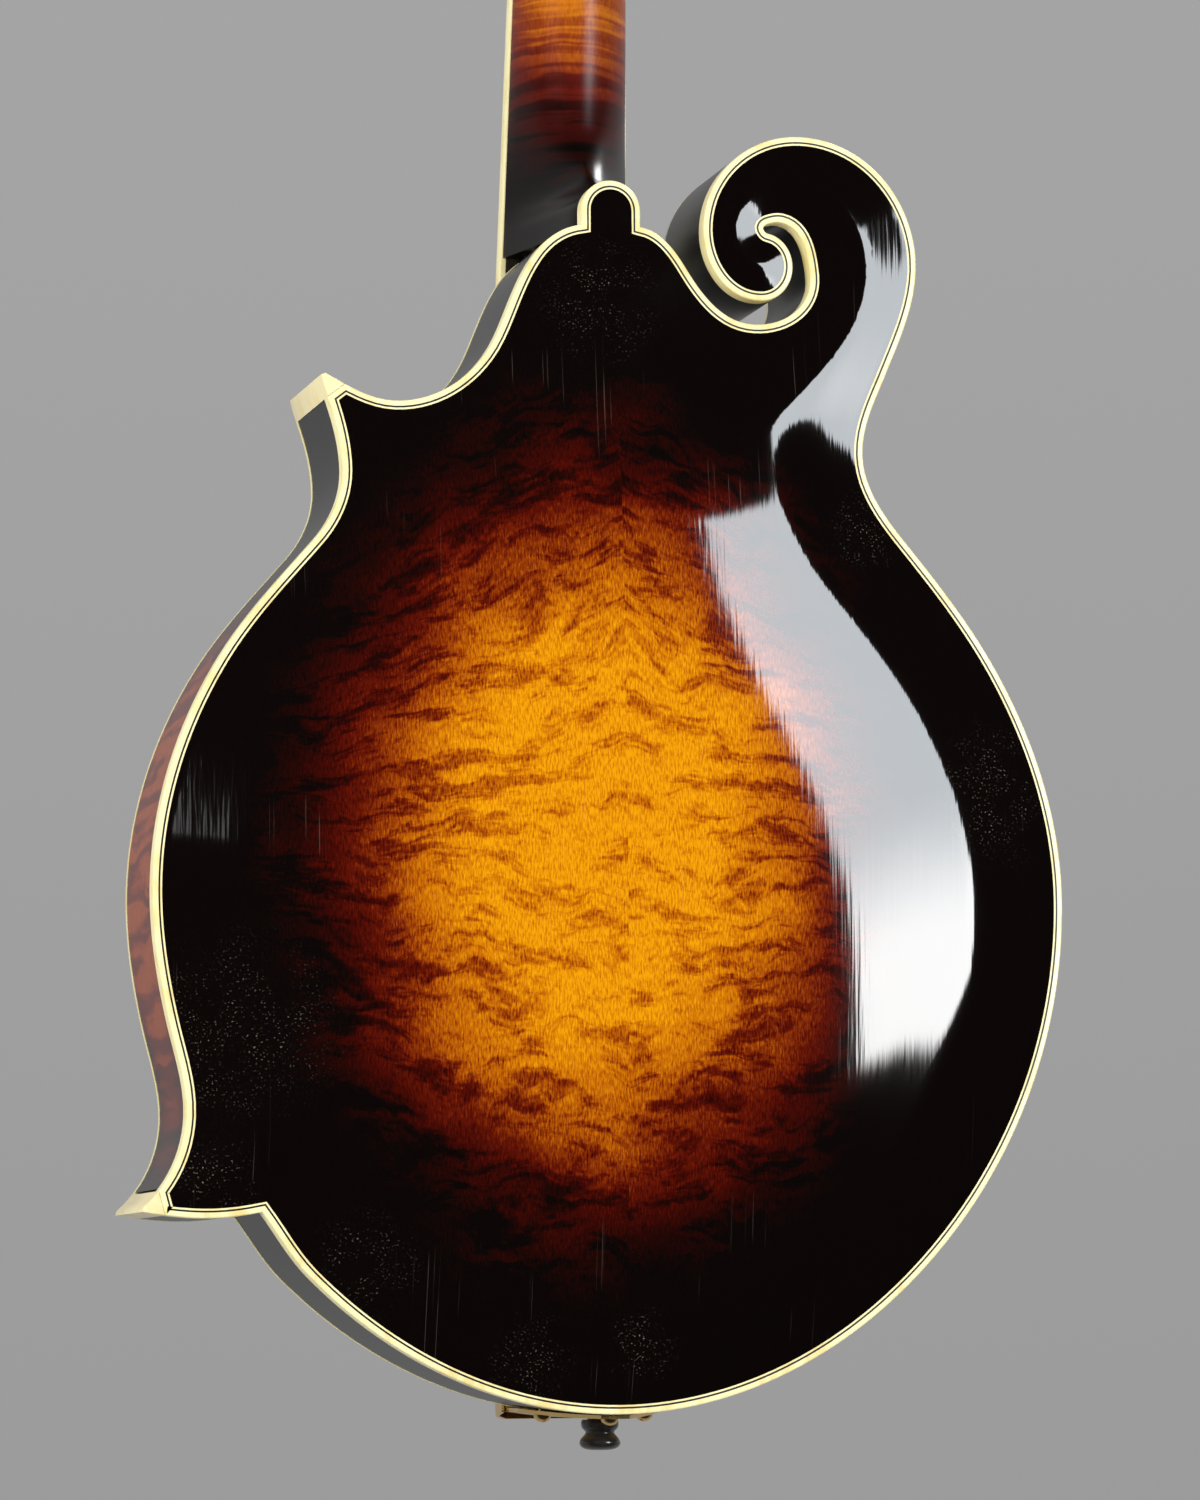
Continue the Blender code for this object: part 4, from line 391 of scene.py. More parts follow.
@dataclass(frozen=True)
class Varnish:
    """Old shaded varnish over wood: how it shines."""

    roughness: float = 0.05
    ior: float = 1.62
    streak: float = 1.2e-5
    peel: float = 2.0e-5
    dulling: float = 0.25

    def surface(self, recipe: Recipe, colour: Wire, place: Sequence[Wire],
                wear: Wire | None = None) -> Material:
        """Gloss that has sunk a little into the grain, so that a highlight ends in hairs.

        Args:
            recipe: The tree.
            colour: Colour of the wood and stain.
            place: X, Y and Z in millimetres.
            wear: Where the gloss has gone dull.

        Returns:
            The material.
        """
        x, y, z = place
        hairs = recipe.noise((x, y, z / 34.0), 1.5, 0.45)
        peel = recipe.noise((x / 8.0, y / 8.0, z / 20.0), 1.0, 0.4)
        normal = recipe.bump(hairs, self.streak, recipe.bump(peel, self.peel))
        rough = self.roughness if wear is None else wear * self.dulling + self.roughness
        return recipe.finish(Base_Color=colour, Roughness=rough, Normal=normal, IOR=self.ior)


BURST_STOPS: list[tuple[float, Colour]] = [
    (0.0, (0.76, 0.31, 0.002)), (0.14, (0.60, 0.195, 0.0015)), (0.30, (0.42, 0.098, 0.0012)),
    (0.44, (0.23, 0.030, 0.001)), (0.58, (0.105, 0.0055, 0.0007)), (0.72, (0.046, 0.0018, 0.0005)),
    (0.86, (0.014, 0.0012, 0.0006)), (1.0, (0.0024, 0.0011, 0.0009))]


@dataclass(frozen=True)
class BurstBack:
    """Bookmatched flamed maple, shaded from amber in the middle to black at the edge."""

    name: str = "flamed_maple_back"
    centre: Place = (7.0, 164.0)
    reach: Place = (85.0, 116.0)
    fade: Place = (0.34, 1.20)
    curl_edge: Place = (0.53, 0.38)
    wear_colour: Colour = (0.34, 0.28, 0.21)
    wear_share: float = 0.50
    half_shift: float = 0.32
    worn: tuple[Point, ...] = (
        (4.0, 311.0, 13.0), (104.0, 112.0, 20.0), (112.0, 72.0, 11.0), (70.0, 50.0, 11.0),
        (25.0, 25.0, 9.0), (-5.0, 28.0, 8.0), (-106.0, 178.0, 15.0), (85.0, 255.0, 8.0),
        (-70.0, 250.0, 9.0))
    varnish: Varnish = Varnish()

    def figure(self, recipe: Recipe, x: Wire, z: Wire) -> Wire:
        """Dark curls that run across both halves and meet in chevrons at the seam.

        Args:
            recipe: The tree.
            x: Place across the back in millimetres.
            z: Place along it.

        Returns:
            1 in a curl, 0 between.
        """
        side = abs(x)
        half = x.over(0.0) * self.half_shift
        lean = z.step(130.0, 235.0) * 0.46 - 0.06
        wander = recipe.noise((side / 30.0, z / 26.0, half), 1.0, 0.4) - 0.5
        ripple = recipe.noise((side / 9.0, z / 12.0, half + 4.0), 1.0, 0.4) - 0.5
        line = z + side * lean + wander * 14.0 + ripple * 6.0
        broad = recipe.noise((side / 21.0, line / 7.4, half), 3.0, 0.6, 0.35)
        close = recipe.noise((side / 8.0 + 9.0, line / 3.2, half), 3.0, 0.65, 0.3)
        return (broad * 0.62 + close * 0.38).step(*self.curl_edge)

    def material(self) -> Material:
        """The finish's material.

        Returns:
            The material.
        """
        recipe = Recipe(self.name)
        x, _, z = place = recipe.place()
        far = spread((x - self.centre[0]) / self.reach[0], (z - self.centre[1]) / self.reach[1])
        cloud = recipe.noise((x / 38.0, z / 30.0, 3.0), 2.5, 0.55) - 0.5
        burst = (far + cloud * 0.32).step(*self.fade)
        curls = self.figure(recipe, x, z)
        fleck = recipe.noise((x / 0.45, z / 2.2, 0.0), 2.0, 0.6)
        ticks = recipe.noise((x / 0.7, z / 3.4, 7.0), 1.0, 0.5).step(0.60, 0.70)
        mottle = (0.5 - fleck) * 0.85 * (1.0 - burst * 0.75)
        tone = burst + curls * (0.27 - burst * 0.08) + mottle + ticks * 0.09
        colour = recipe.ramp(tone + 0.06, BURST_STOPS)
        patch: Wire | float = 0.0
        for at_x, at_z, radius in self.worn:
            patch = (spread(x - at_x, z - at_z) / radius).step(1.6, 0.0).most(patch)
        speck = recipe.noise((x / 0.62, z / 0.62, 5.0), 1.0, 0.5).step(0.64, 0.71)
        patch = patch * recipe.noise((x / 9.0, z / 9.0, 6.0), 3.0, 0.65).step(0.40, 0.62)
        hair = recipe.noise((x / 0.36, z / 110.0, 2.0), 0.0, 0.5).step(0.75, 0.82)
        hair = hair * recipe.noise((x / 22.0, z / 30.0, 8.0), 1.0, 0.5).step(0.56, 0.66)
        worn = (speck * patch).most(hair * 0.25)
        colour = recipe.mix(worn * self.wear_share, colour, self.wear_colour)
        return self.varnish.surface(recipe, colour, place, worn)


@dataclass(frozen=True)
class BurstWood:
    """Maple shaded along or across a piece: ribs, neck and scroll."""

    name: str
    centre: Point
    reach: Point
    stripe: Point
    floor: float
    varnish: Varnish
    fade: Place = (0.35, 1.1)

    def material(self) -> Material:
        """The finish's material.

        Returns:
            The material.
        """
        recipe = Recipe(self.name)
        x, y, z = place = recipe.place()
        parts = [((abs(v) if k == 0 else v) - c) / r
                 for k, (v, c, r) in enumerate(zip(place, self.centre, self.reach))]
        cloud = recipe.noise((x / 30.0, y / 30.0, z / 30.0), 2.0, 0.5) - 0.5
        burst = (spread(*parts) + cloud * 0.25).step(*self.fade)
        sx, sy, sz = self.stripe
        wave = recipe.noise((x / 20.0, y / 20.0, z / 20.0), 1.0, 0.5) * 1.6
        curl = recipe.noise((x / sx + wave, y / sy, z / sz + wave), 2.0, 0.5).step(0.56, 0.40)
        fleck = recipe.noise((x / 0.6, y / 0.6, z / 2.4), 2.0, 0.6)
        mottle = (0.5 - fleck) * 0.26 * (1.0 - burst)
        tone = self.floor + burst * (1.0 - self.floor) + curl * 0.16 + mottle
        return self.varnish.surface(recipe, recipe.ramp(tone, BURST_STOPS), place)


@dataclass(frozen=True)
class BurstSpruce:
    """Straight-grained spruce, shaded from amber at the bridge to black at the edge."""

    name: str = "spruce_top"
    centre: Place = (0.0, 172.0)
    reach: Place = (104.0, 150.0)
    fade: Place = (0.42, 1.12)
    varnish: Varnish = Varnish(0.08)

    def material(self) -> Material:
        """The finish's material.

        Returns:
            The material.
        """
        recipe = Recipe(self.name)
        x, _, z = place = recipe.place()
        far = spread((x - self.centre[0]) / self.reach[0], (z - self.centre[1]) / self.reach[1])
        cloud = recipe.noise((x / 40.0, z / 40.0, 1.0), 2.0, 0.5) - 0.5
        burst = (far + cloud * 0.16).step(*self.fade)
        drift = recipe.noise((x / 30.0, z / 160.0, 0.0), 1.0, 0.5) * 3.0
        width = 1.1 + abs(x) * 0.004
        rings = ((abs(x) * 5.2 / width + drift * 2.0).sine() * 0.5 + 0.5) ** 3.0
        fibre = recipe.noise((x / 0.25, z / 14.0, 2.0), 2.0, 0.6)
        silk = recipe.noise((x / 3.0, z / 1.4, 4.0), 2.0, 0.5)
        tone = burst + rings * 0.16 + (0.5 - fibre) * 0.20 + (0.5 - silk) * 0.08
        colour = recipe.ramp(tone + 0.06, BURST_STOPS)
        return self.varnish.surface(recipe, colour, place)


@dataclass(frozen=True)
class Ivoroid:
    """Aged cream celluloid with faint grain."""

    name: str
    colour: Colour = (0.95, 0.86, 0.47)
    shade: Colour = (0.84, 0.67, 0.26)

    def material(self) -> Material:
        """The finish's material.

        Returns:
            The material.
        """
        recipe = Recipe(self.name)
        x, y, z = recipe.place()
        grain = recipe.noise((x / 2.0, y / 0.5, z / 5.0), 2.0, 0.5)
        age = recipe.noise((x / 12.0, y / 6.0, z / 12.0), 3.0, 0.6)
        tone = recipe.mix((grain * 0.35 + age * 0.65).step(0.46, 0.68), self.colour, self.shade)
        pits = recipe.cells((x / 1.4, y / 1.4, z / 1.4)).step(0.08, 0.03)
        colour = recipe.mix(pits * age.step(0.55, 0.65) * 0.35, tone, (0.24, 0.14, 0.05))
        normal = recipe.bump(grain, 4.0e-6)
        return recipe.finish(Base_Color=colour, Roughness=0.26 + age * 0.14, Normal=normal,
                             Coat_Weight=0.4, Coat_Roughness=0.1)


@dataclass(frozen=True)
class DarkWood:
    """Ebony, or a black-dyed veneer."""

    name: str
    colour: Colour = (0.012, 0.010, 0.009)
    fleck: Colour = (0.045, 0.030, 0.022)
    roughness: float = 0.42
    coat: float = 0.0

    def material(self) -> Material:
        """The finish's material.

        Returns:
            The material.
        """
        recipe = Recipe(self.name)
        x, y, z = recipe.place()
        pores = recipe.noise((x / 0.3, y / 0.3, z / 5.0), 3.0, 0.6)
        cloud = recipe.noise((x / 6.0, y / 6.0, z / 50.0), 2.0, 0.5)
        colour = recipe.mix((pores * 0.6 + cloud * 0.4).step(0.50, 0.66), self.colour, self.fleck)
        return recipe.finish(Base_Color=colour, Roughness=self.roughness + (pores - 0.5) * 0.2,
                             Normal=recipe.bump(pores, 1.2e-5), Coat_Weight=self.coat,
                             Coat_Roughness=0.05)


@dataclass(frozen=True)
class RawWood:
    """Unvarnished inner wood."""

    name: str = "inner_wood"
    pale: Colour = (0.62, 0.42, 0.22)
    dark: Colour = (0.36, 0.21, 0.09)

    def material(self) -> Material:
        """The finish's material.

        Returns:
            The material.
        """
        recipe = Recipe(self.name)
        x, y, z = recipe.place()
        grain = recipe.noise((x / 1.2, y / 1.2, z / 30.0), 3.0, 0.6)
        cloud = recipe.noise((x / 15.0, y / 15.0, z / 30.0), 2.0, 0.5)
        colour = recipe.mix(grain * 0.6 + cloud * 0.4, self.pale, self.dark)
        return recipe.finish(Base_Color=colour, Roughness=0.6 + grain * 0.25,
                             Normal=recipe.bump(grain, 3.0e-5))


@dataclass(frozen=True)
class Metal:
    """Plated or plain metal with fine scratches and worn, tarnished patches.

    Beyond a distance to either side it is a pearl button instead.
    """

    name: str
    colour: Colour
    tarnish: Colour
    roughness: float = 0.2
    brushed: float = 1.0
    button_from: float | None = None
    pearl: tuple[Colour, Colour] = ((0.84, 0.80, 0.68), (0.58, 0.54, 0.46))

    def material(self) -> Material:
        """The finish's material.

        Returns:
            The material.
        """
        recipe = Recipe(self.name)
        x, y, z = recipe.place()
        scratch = recipe.noise((x / 0.2, y / 0.2, z / 3.0), 2.0, 0.6)
        cloud = recipe.noise((x / 5.0, y / 5.0, z / 5.0), 4.0, 0.65)
        old = cloud.step(0.48, 0.78)
        colour = recipe.mix(old * 0.55, self.colour, self.tarnish)
        rough = self.roughness + old * 0.14 + scratch * 0.08
        metallic: Wire | float = 1.0
        if self.button_from is not None:
            button = abs(x).over(self.button_from)
            swirl = recipe.noise((x / 3.0, y / 2.2, z / 2.2), 3.0, 0.6, 0.8)
            colour = recipe.mix(button, colour, recipe.mix(swirl.step(0.35, 0.65), *self.pearl))
            metallic = 1.0 - button
        return recipe.finish(Base_Color=colour, Metallic=metallic, Roughness=rough,
                             Normal=recipe.bump(scratch, 2.0e-6 * self.brushed))


@dataclass(frozen=True)
class Lacquer:
    """Black or coloured gloss on turned or cast small parts, bone and pearl among them."""

    name: str
    colour: Colour
    shade: Colour
    roughness: float = 0.2
    grain: float = 4.0

    def material(self) -> Material:
        """The finish's material.

        Returns:
            The material.
        """
        recipe = Recipe(self.name)
        x, y, z = recipe.place()
        cloud = recipe.noise((x / self.grain, y / self.grain, z / self.grain), 3.0, 0.6, 0.6)
        colour = recipe.mix(cloud.step(0.38, 0.66), self.colour, self.shade)
        return recipe.finish(Base_Color=colour, Roughness=self.roughness + (cloud - 0.5) * 0.12,
                             Normal=recipe.bump(cloud, 1.0e-5), Coat_Weight=0.5, Coat_Roughness=0.06)


class Palette:
    """Every finish, made once."""

    def __init__(self) -> None:
        """Make the materials."""
        gold, old_gold = (0.90, 0.62, 0.25), (0.60, 0.37, 0.14)
        ribs = Varnish(0.28, 1.4)
        self.back = BurstBack().material()
        self.top = BurstSpruce().material()
        self.rib = BurstWood("maple_rib", (122.0, 0.0, 160.0), (60.0, 46.0, 120.0), (5.0, 60.0, 5.0),
                             0.42, ribs).material()
        self.block = BurstWood("scroll_maple", (0.0, 0.0, 0.0), (60.0, 60.0, 60.0), (8.0, 60.0, 8.0),
                               0.5, ribs).material()
        self.neck = BurstWood("neck_maple", (0.0, -10.0, 456.0), (60.0, 60.0, 112.0), (60.0, 60.0, 3.2),
                              0.16, Varnish(0.30, 1.38)).material()
        self.inner = RawWood().material()
        self.ebony = DarkWood("ebony").material()
        self.veneer = DarkWood("black_veneer", roughness=0.3, coat=0.8).material()
        self.line = DarkWood("black_line", (0.008, 0.006, 0.005), (0.02, 0.014, 0.01),
                             0.35, 0.5).material()
        self.binding = Ivoroid("ivoroid_binding").material()
        self.cap = Ivoroid("ivoroid_cap", (0.88, 0.77, 0.43)).material()
        self.bone = Lacquer("bone", (0.80, 0.76, 0.62), (0.68, 0.60, 0.42), 0.35).material()
        self.pearl = Lacquer("pearl", (0.82, 0.84, 0.80), (0.55, 0.62, 0.62), 0.16, 1.6).material()
        self.tuner = Metal("gold_and_pearl_button", gold, old_gold, 0.2, button_from=44.5).material()
        self.pin = Lacquer("end_pin_black", (0.008, 0.007, 0.007), (0.02, 0.017, 0.015), 0.25).material()
        self.gold = Metal("gold_plate", gold, old_gold, 0.16).material()
        self.brass = Metal("wheel_brass", (0.80, 0.58, 0.28), (0.40, 0.26, 0.12), 0.28).material()
        self.steel = Metal("steel", (0.62, 0.62, 0.62), (0.42, 0.40, 0.37), 0.22).material()
        self.fret = Metal("fret_wire", (0.74, 0.72, 0.66), (0.52, 0.48, 0.40), 0.18).material()
        self.wound = Metal("wound_string", (0.72, 0.46, 0.26), (0.40, 0.25, 0.14), 0.3, 2.0).material()


def arc_span(start: Sequence[float], end: Sequence[float], error: float) -> list[Place]:
    """Cubic from one knot to the next, bent like an arc.

    Args:
        start: X, Y and heading in degrees of the first knot.
        end: The same of the next knot.
        error: How far a chord may leave the arc.

    Returns:
        Points from the first knot to just before the next.
    """
    (x0, y0, h0), (x1, y1, h1) = start, end
    turn = math.radians((h1 - h0 + 180) % 360 - 180)
    chord = math.hypot(x1 - x0, y1 - y0)
    longest = 3.5 * MM
    handle = chord / (3 * math.cos(turn / 4) ** 2)
    a0, a1 = math.radians(h0), math.radians(h1)
    control = [(x0, y0), (x0 + handle * math.cos(a0), y0 + handle * math.sin(a0)),
               (x1 - handle * math.cos(a1), y1 - handle * math.sin(a1)), (x1, y1)]
    radius = chord / max(abs(turn), 0.02)
    widest = 2 * math.sqrt(2 * error / radius)
    steps = max(1, math.ceil(abs(turn) / widest), math.ceil(chord / longest))
    points = []
    for k in range(steps):
        t = k / steps
        weights = ((1 - t) ** 3, 3 * t * (1 - t) ** 2, 3 * t * t * (1 - t), t ** 3)
        points.append(tuple(sum(w * c[i] for w, c in zip(weights, control)) for i in (0, 1)))
    return points


def path(runs: Sequence[Sequence[Sequence[float]]], error: float = 0.02 * MM) -> list[Place]:
    """Closed line along runs of knots, with a corner between two runs.

    Args:
        runs: Runs of knots, each with X, Y and heading.
        error: How far a chord may leave its arc.

    Returns:
        The line's points.
    """
    points = []
    for k, run in enumerate(runs):
        for start, end in zip(run, run[1:]):
            points += arc_span(start, end, error)
        if math.dist(run[-1][:2], runs[(k + 1) % len(runs)][0][:2]) > 1e-7:
            points.append(tuple(run[-1][:2]))
    return points


def scaled(*knots: Sequence[float]) -> list[Sequence[float]]:
    """Pairs given in millimetres, in metres. A heading after them stays."""
    return [(knot[0] * MM, knot[1] * MM, *knot[2:]) for knot in knots]


def clearance(points: Line, loop: Line) -> np.ndarray:
    """Distance from each point to a closed loop.

    Args:
        points: The points.
        loop: The loop.

    Returns:
        The distances.
    """
    start = np.asarray(loop, float)
    run = np.roll(start, -1, axis=0) - start
    lengths = np.maximum((run ** 2).sum(-1), 1e-18)
    result = []
    for chunk in np.array_split(np.asarray(points, float), max(1, len(points) // BATCH)):
        offset = chunk[:, None, :] - start
        share = np.clip((offset * run).sum(-1) / lengths, 0, 1)
        result.append(np.sqrt(((offset - share[..., None] * run) ** 2).sum(-1)).min(axis=1))
    return np.concatenate(result)


def smooth_inset(points: Line, loop: Line) -> np.ndarray:
    """Inset from a loop without a crease: each stretch pulls with the inverse cube of its distance.

    Args:
        points: Points inside the loop.
        loop: The loop.

    Returns:
        The insets.
    """
    start = np.asarray(loop, float)
    run = np.roll(start, -1, axis=0) - start
    length = np.sqrt((run ** 2).sum(-1))
    unit = run / length[:, None]
    result = []
    for chunk in np.array_split(np.asarray(points, float), max(1, len(points) // BATCH)):
        offset = chunk[:, None, :] - start
        along = (offset * unit).sum(-1)
        across = np.maximum(np.abs(offset[..., 0] * unit[:, 1] - offset[..., 1] * unit[:, 0]), 1e-5)
        far = length - along
        pull = (far / np.hypot(far, across) + along / np.hypot(along, across)) / across ** 2
        result.append(np.sqrt(2 / pull.sum(axis=1)))
    return np.concatenate(result)


def inside(points: Line, loop: Line) -> np.ndarray:
    """Whether each point lies in the loop.

    Args:
        points: The points.
        loop: The loop.

    Returns:
        True for each point inside.
    """
    points = np.asarray(points, float)
    x, y = points[:, 0][:, None], points[:, 1][:, None]
    a = np.asarray(loop, float)
    b = np.roll(a, -1, axis=0)
    crosses = (a[:, 1] > y) != (b[:, 1] > y)
    rise = np.where(b[:, 1] == a[:, 1], 1e-12, b[:, 1] - a[:, 1])
    hits = crosses & (x < (b[:, 0] - a[:, 0]) * (y - a[:, 1]) / rise + a[:, 0])
    return hits.sum(axis=1) % 2 == 1


def moved_in(loop: Line, distance: float) -> np.ndarray:
    """Loop moved inwards point by point, with mitred corners.

    Args:
        loop: The loop, anticlockwise.
        distance: How far it moves.

    Returns:
        The moved points.
    """
    points = np.asarray(loop, float)
    edge = np.roll(points, -1, axis=0) - points
    edge /= np.sqrt((edge ** 2).sum(-1))[:, None]
    normal = np.c_[-edge[:, 1], edge[:, 0]]
    before = np.roll(normal, 1, axis=0)
    return points + (normal + before) / (1 + (normal * before).sum(-1))[:, None] * distance


def inset(loop: Line, distance: float, spacing: float = 0.3 * MM) -> list[Place]:
    """Loop moved inwards, without the stretches that would cross at a tight corner.

    Args:
        loop: The loop, anticlockwise.
        distance: How far it moves.
        spacing: Least distance between its new points.

    Returns:
        The moved loop.
    """
    moved = moved_in(loop, distance)
    kept = moved[clearance(moved, loop) > distance * 0.985]
    result = [kept[0]]
    for point in kept[1:]:
        if math.dist(point, result[-1]) > spacing:
            result.append(point)
    return [tuple(p) for p in result]


def nearest_index(loop: Line, place: Place) -> int:
    """Index of the loop's point that is nearest to a place."""
    return min(range(len(loop)), key=lambda i: math.dist(loop[i], place))


def run_between(loop: Line, first: Place, last: Place) -> list[Place]:
    """Points of a loop from near one place to near another, anticlockwise.

    Args:
        loop: The loop, anticlockwise.
        first: Where the run begins.
        last: Where it ends.

    Returns:
        The run's points.
    """
    a, b = nearest_index(loop, first), nearest_index(loop, last)
    b += len(loop) if b <= a else 0
    return [loop[i % len(loop)] for i in range(a, b + 1)]


def crossing(a: Place, b: Place, origin: Place, normal: Place) -> Place:
    """Where the segment a-b meets the line through origin.

    Args:
        a: Start of the segment.
        b: Its end.
        origin: A point on the line.
        normal: Direction square to the line.

    Returns:
        The meeting point.
    """
    da = (a[0] - origin[0]) * normal[0] + (a[1] - origin[1]) * normal[1]
    db = (b[0] - origin[0]) * normal[0] + (b[1] - origin[1]) * normal[1]
    t = da / (da - db)
    return (a[0] + (b[0] - a[0]) * t, a[1] + (b[1] - a[1]) * t)


def cut_tip(loop: list[Place], tip: Place, heading: float,
            depth: float) -> tuple[list[Place], list[Place]]:
    """Cut a point's tip off the loop.

    Args:
        loop: The loop, anticlockwise.
        tip: Where the tip is.
        heading: Which way it points, in degrees.
        depth: Length of the piece cut off.

    Returns:
        The shortened loop, and the tip's own outline.
    """
    normal = (math.cos(math.radians(heading)), math.sin(math.radians(heading)))
    origin = (tip[0] - normal[0] * depth, tip[1] - normal[1] * depth)

    def beyond(point: Place) -> bool:
        """Whether a point lies in the tip."""
        return (point[0] - origin[0]) * normal[0] + (point[1] - origin[1]) * normal[1] > 0

    middle = nearest_index(loop, tip)
    first = last = middle
    while beyond(loop[first - 1]):
        first -= 1
    while beyond(loop[(last + 1) % len(loop)]):
        last += 1
    start = crossing(loop[first - 1], loop[first], origin, normal)
    end = crossing(loop[last], loop[(last + 1) % len(loop)], origin, normal)
    tip_points = [start] + [loop[i % len(loop)] for i in range(first, last + 1)] + [end]
    kept = [loop[i % len(loop)] for i in range(last + 1, first + len(loop))]
    return kept + [start, end], tip_points


def eased(share: np.ndarray) -> np.ndarray:
    """Smooth step of shares, 0 below 0 and 1 above 1."""
    share = np.clip(share, 0, 1)
    return share * share * (3 - 2 * share)


def steady(places: Sequence[float], values: Sequence[float], at: np.ndarray) -> np.ndarray:
    """Smooth line through values, without overshoot.

    Args:
        places: Where the values stand, rising.
        values: The values.
        at: Where the line is wanted.

    Returns:
        The line's values.
    """
    x, v = np.asarray(places, float), np.asarray(values, float)
    run = np.diff(x)
    slope = np.diff(v) / run
    both = slope[1:] * slope[:-1]
    middle = np.where(both > 0, 2 * both / (slope[1:] + slope[:-1] + 1e-30), 0)
    tangent = np.r_[slope[0], middle, slope[-1]]
    k = np.clip(np.searchsorted(x, at) - 1, 0, len(run) - 1)
    t = np.clip((at - x[k]) / run[k], 0, 1)
    return ((2 * t ** 3 - 3 * t ** 2 + 1) * v[k] + (t ** 3 - 2 * t ** 2 + t) * run[k] * tangent[k]
            + (3 * t ** 2 - 2 * t ** 3) * v[k + 1] + (t ** 3 - t ** 2) * run[k] * tangent[k + 1])


def mesh_from(work: bmesh.types.BMesh, name: str, sharp: float = 35.0) -> Mesh:
    """Closed bmesh as a mesh, facing out, smooth but for edges over an angle in degrees.

    Args:
        work: The bmesh, freed here.
        name: Name of the mesh.
        sharp: The angle.

    Returns:
        The mesh.
    """
    bmesh.ops.recalc_face_normals(work, faces=work.faces)
    limit = math.radians(sharp)
    for edge in work.edges:
        edge.smooth = len(edge.link_faces) == 2 and edge.calc_face_angle(0.0) < limit
    for face in work.faces:
        face.smooth = True
    mesh = bpy.data.meshes.new(name)
    work.to_mesh(mesh)
    work.free()
    return mesh


def soften(mesh: Mesh, sharp: float = 35.0, weld: float = 0.002 * MM) -> Mesh:
    """Weld a mesh and mark its sharp edges again.

    Args:
        mesh: The mesh.
        sharp: Angle in degrees past which an edge is sharp.
        weld: Distance within which points are one.

    Returns:
        A new mesh.
    """
    work = bmesh.new()
    work.from_mesh(mesh)
    bmesh.ops.remove_doubles(work, verts=work.verts, dist=weld)
    return mesh_from(work, mesh.name, sharp)


def evaluated(holder: bpy.types.Object, name: str) -> Mesh:
    """Mesh of an object as its modifiers leave it. The object is removed.

    Args:
        holder: The object.
        name: Name of the mesh.

    Returns:
        The mesh.
    """
    bpy.context.view_layer.update()
    graph = bpy.context.evaluated_depsgraph_get()
    mesh = bpy.data.meshes.new_from_object(holder.evaluated_get(graph), depsgraph=graph)
    mesh.name = name
    bpy.data.objects.remove(holder, do_unlink=True)
    return mesh


def held(name: str, data: bpy.types.ID | None) -> bpy.types.Object:
    """Object in the scene for data.

    Args:
        name: Name of the object.
        data: Its mesh, curve, lamp or camera.

    Returns:
        The object.
    """
    holder = bpy.data.objects.new(name, data)
    bpy.context.scene.collection.objects.link(holder)
    return holder


def slab(name: str, loops: Sequence[Line], low: float, high: float,
         ease: float = 0.0) -> Mesh:
    """Flat outline, with holes, of a given thickness.

    Args:
        name: Name of the mesh.
        loops: The outline and its holes.
        low: Height of the underside.
        high: Height of the top.
        ease: Radius of the rounded edges.

    Returns:
        The mesh.
    """
    curve = bpy.data.curves.new(name, "CURVE")
    curve.dimensions = "2D"
    curve.fill_mode = "BOTH"
    curve.extrude = (high - low) / 2 - ease
    curve.bevel_depth = ease
    curve.bevel_resolution = 2
    curve.offset = -ease
    for loop in loops:
        spline = curve.splines.new("POLY")
        spline.points.add(len(loop) - 1)
        for point, (x, y) in zip(spline.points, loop):
            point.co = (x, y, 0, 1)
        spline.use_cyclic_u = True
    mesh = evaluated(held(name, curve), name)
    mesh.transform(Matrix.Translation((0, 0, (low + high) / 2)))
    return soften(mesh)


def loft(name: str, rings: Sequence[Sequence[Sequence[float]]], sharp: float = 35.0) -> Mesh:
    """Closed skin over rings that have the same number of points.

    Args:
        name: Name of the mesh.
        rings: The rings, in order.
        sharp: Angle of the edges that stay sharp.

    Returns:
        The mesh.
    """
    work = bmesh.new()
    rows = [[work.verts.new(point) for point in ring] for ring in rings]
    for first, second in zip(rows, rows[1:]):
        bridge(work, first, second)
    work.faces.new(rows[0])
    work.faces.new(rows[-1])
    return mesh_from(work, name, sharp)


def bridge(work: bmesh.types.BMesh, first: Sequence, second: Sequence) -> None:
    """Skin between two rings of vertices.

    Args:
        work: The mesh that takes it.
        first: Vertices of one ring.
        second: Vertices of the other.
    """
    count = len(first)
    for i in range(count):
        j = (i + 1) % count
        work.faces.new((first[i], first[j], second[j], second[i]))


def circle(radius: float, count: int, x: float = 0.0, y: float = 0.0) -> list[Place]:
    """Points round a circle."""
    angles = [2 * math.pi * i / count for i in range(count)]
    return [(x + radius * math.cos(angle), y + radius * math.sin(angle)) for angle in angles]


def turned(name: str, profile: Line, count: int = 48, sharp: float = 35.0) -> Mesh:
    """Solid turned about Z from a profile of radius and height."""
    return loft(name, [[(x, y, z) for x, y in circle(r, count)] for r, z in profile], sharp)


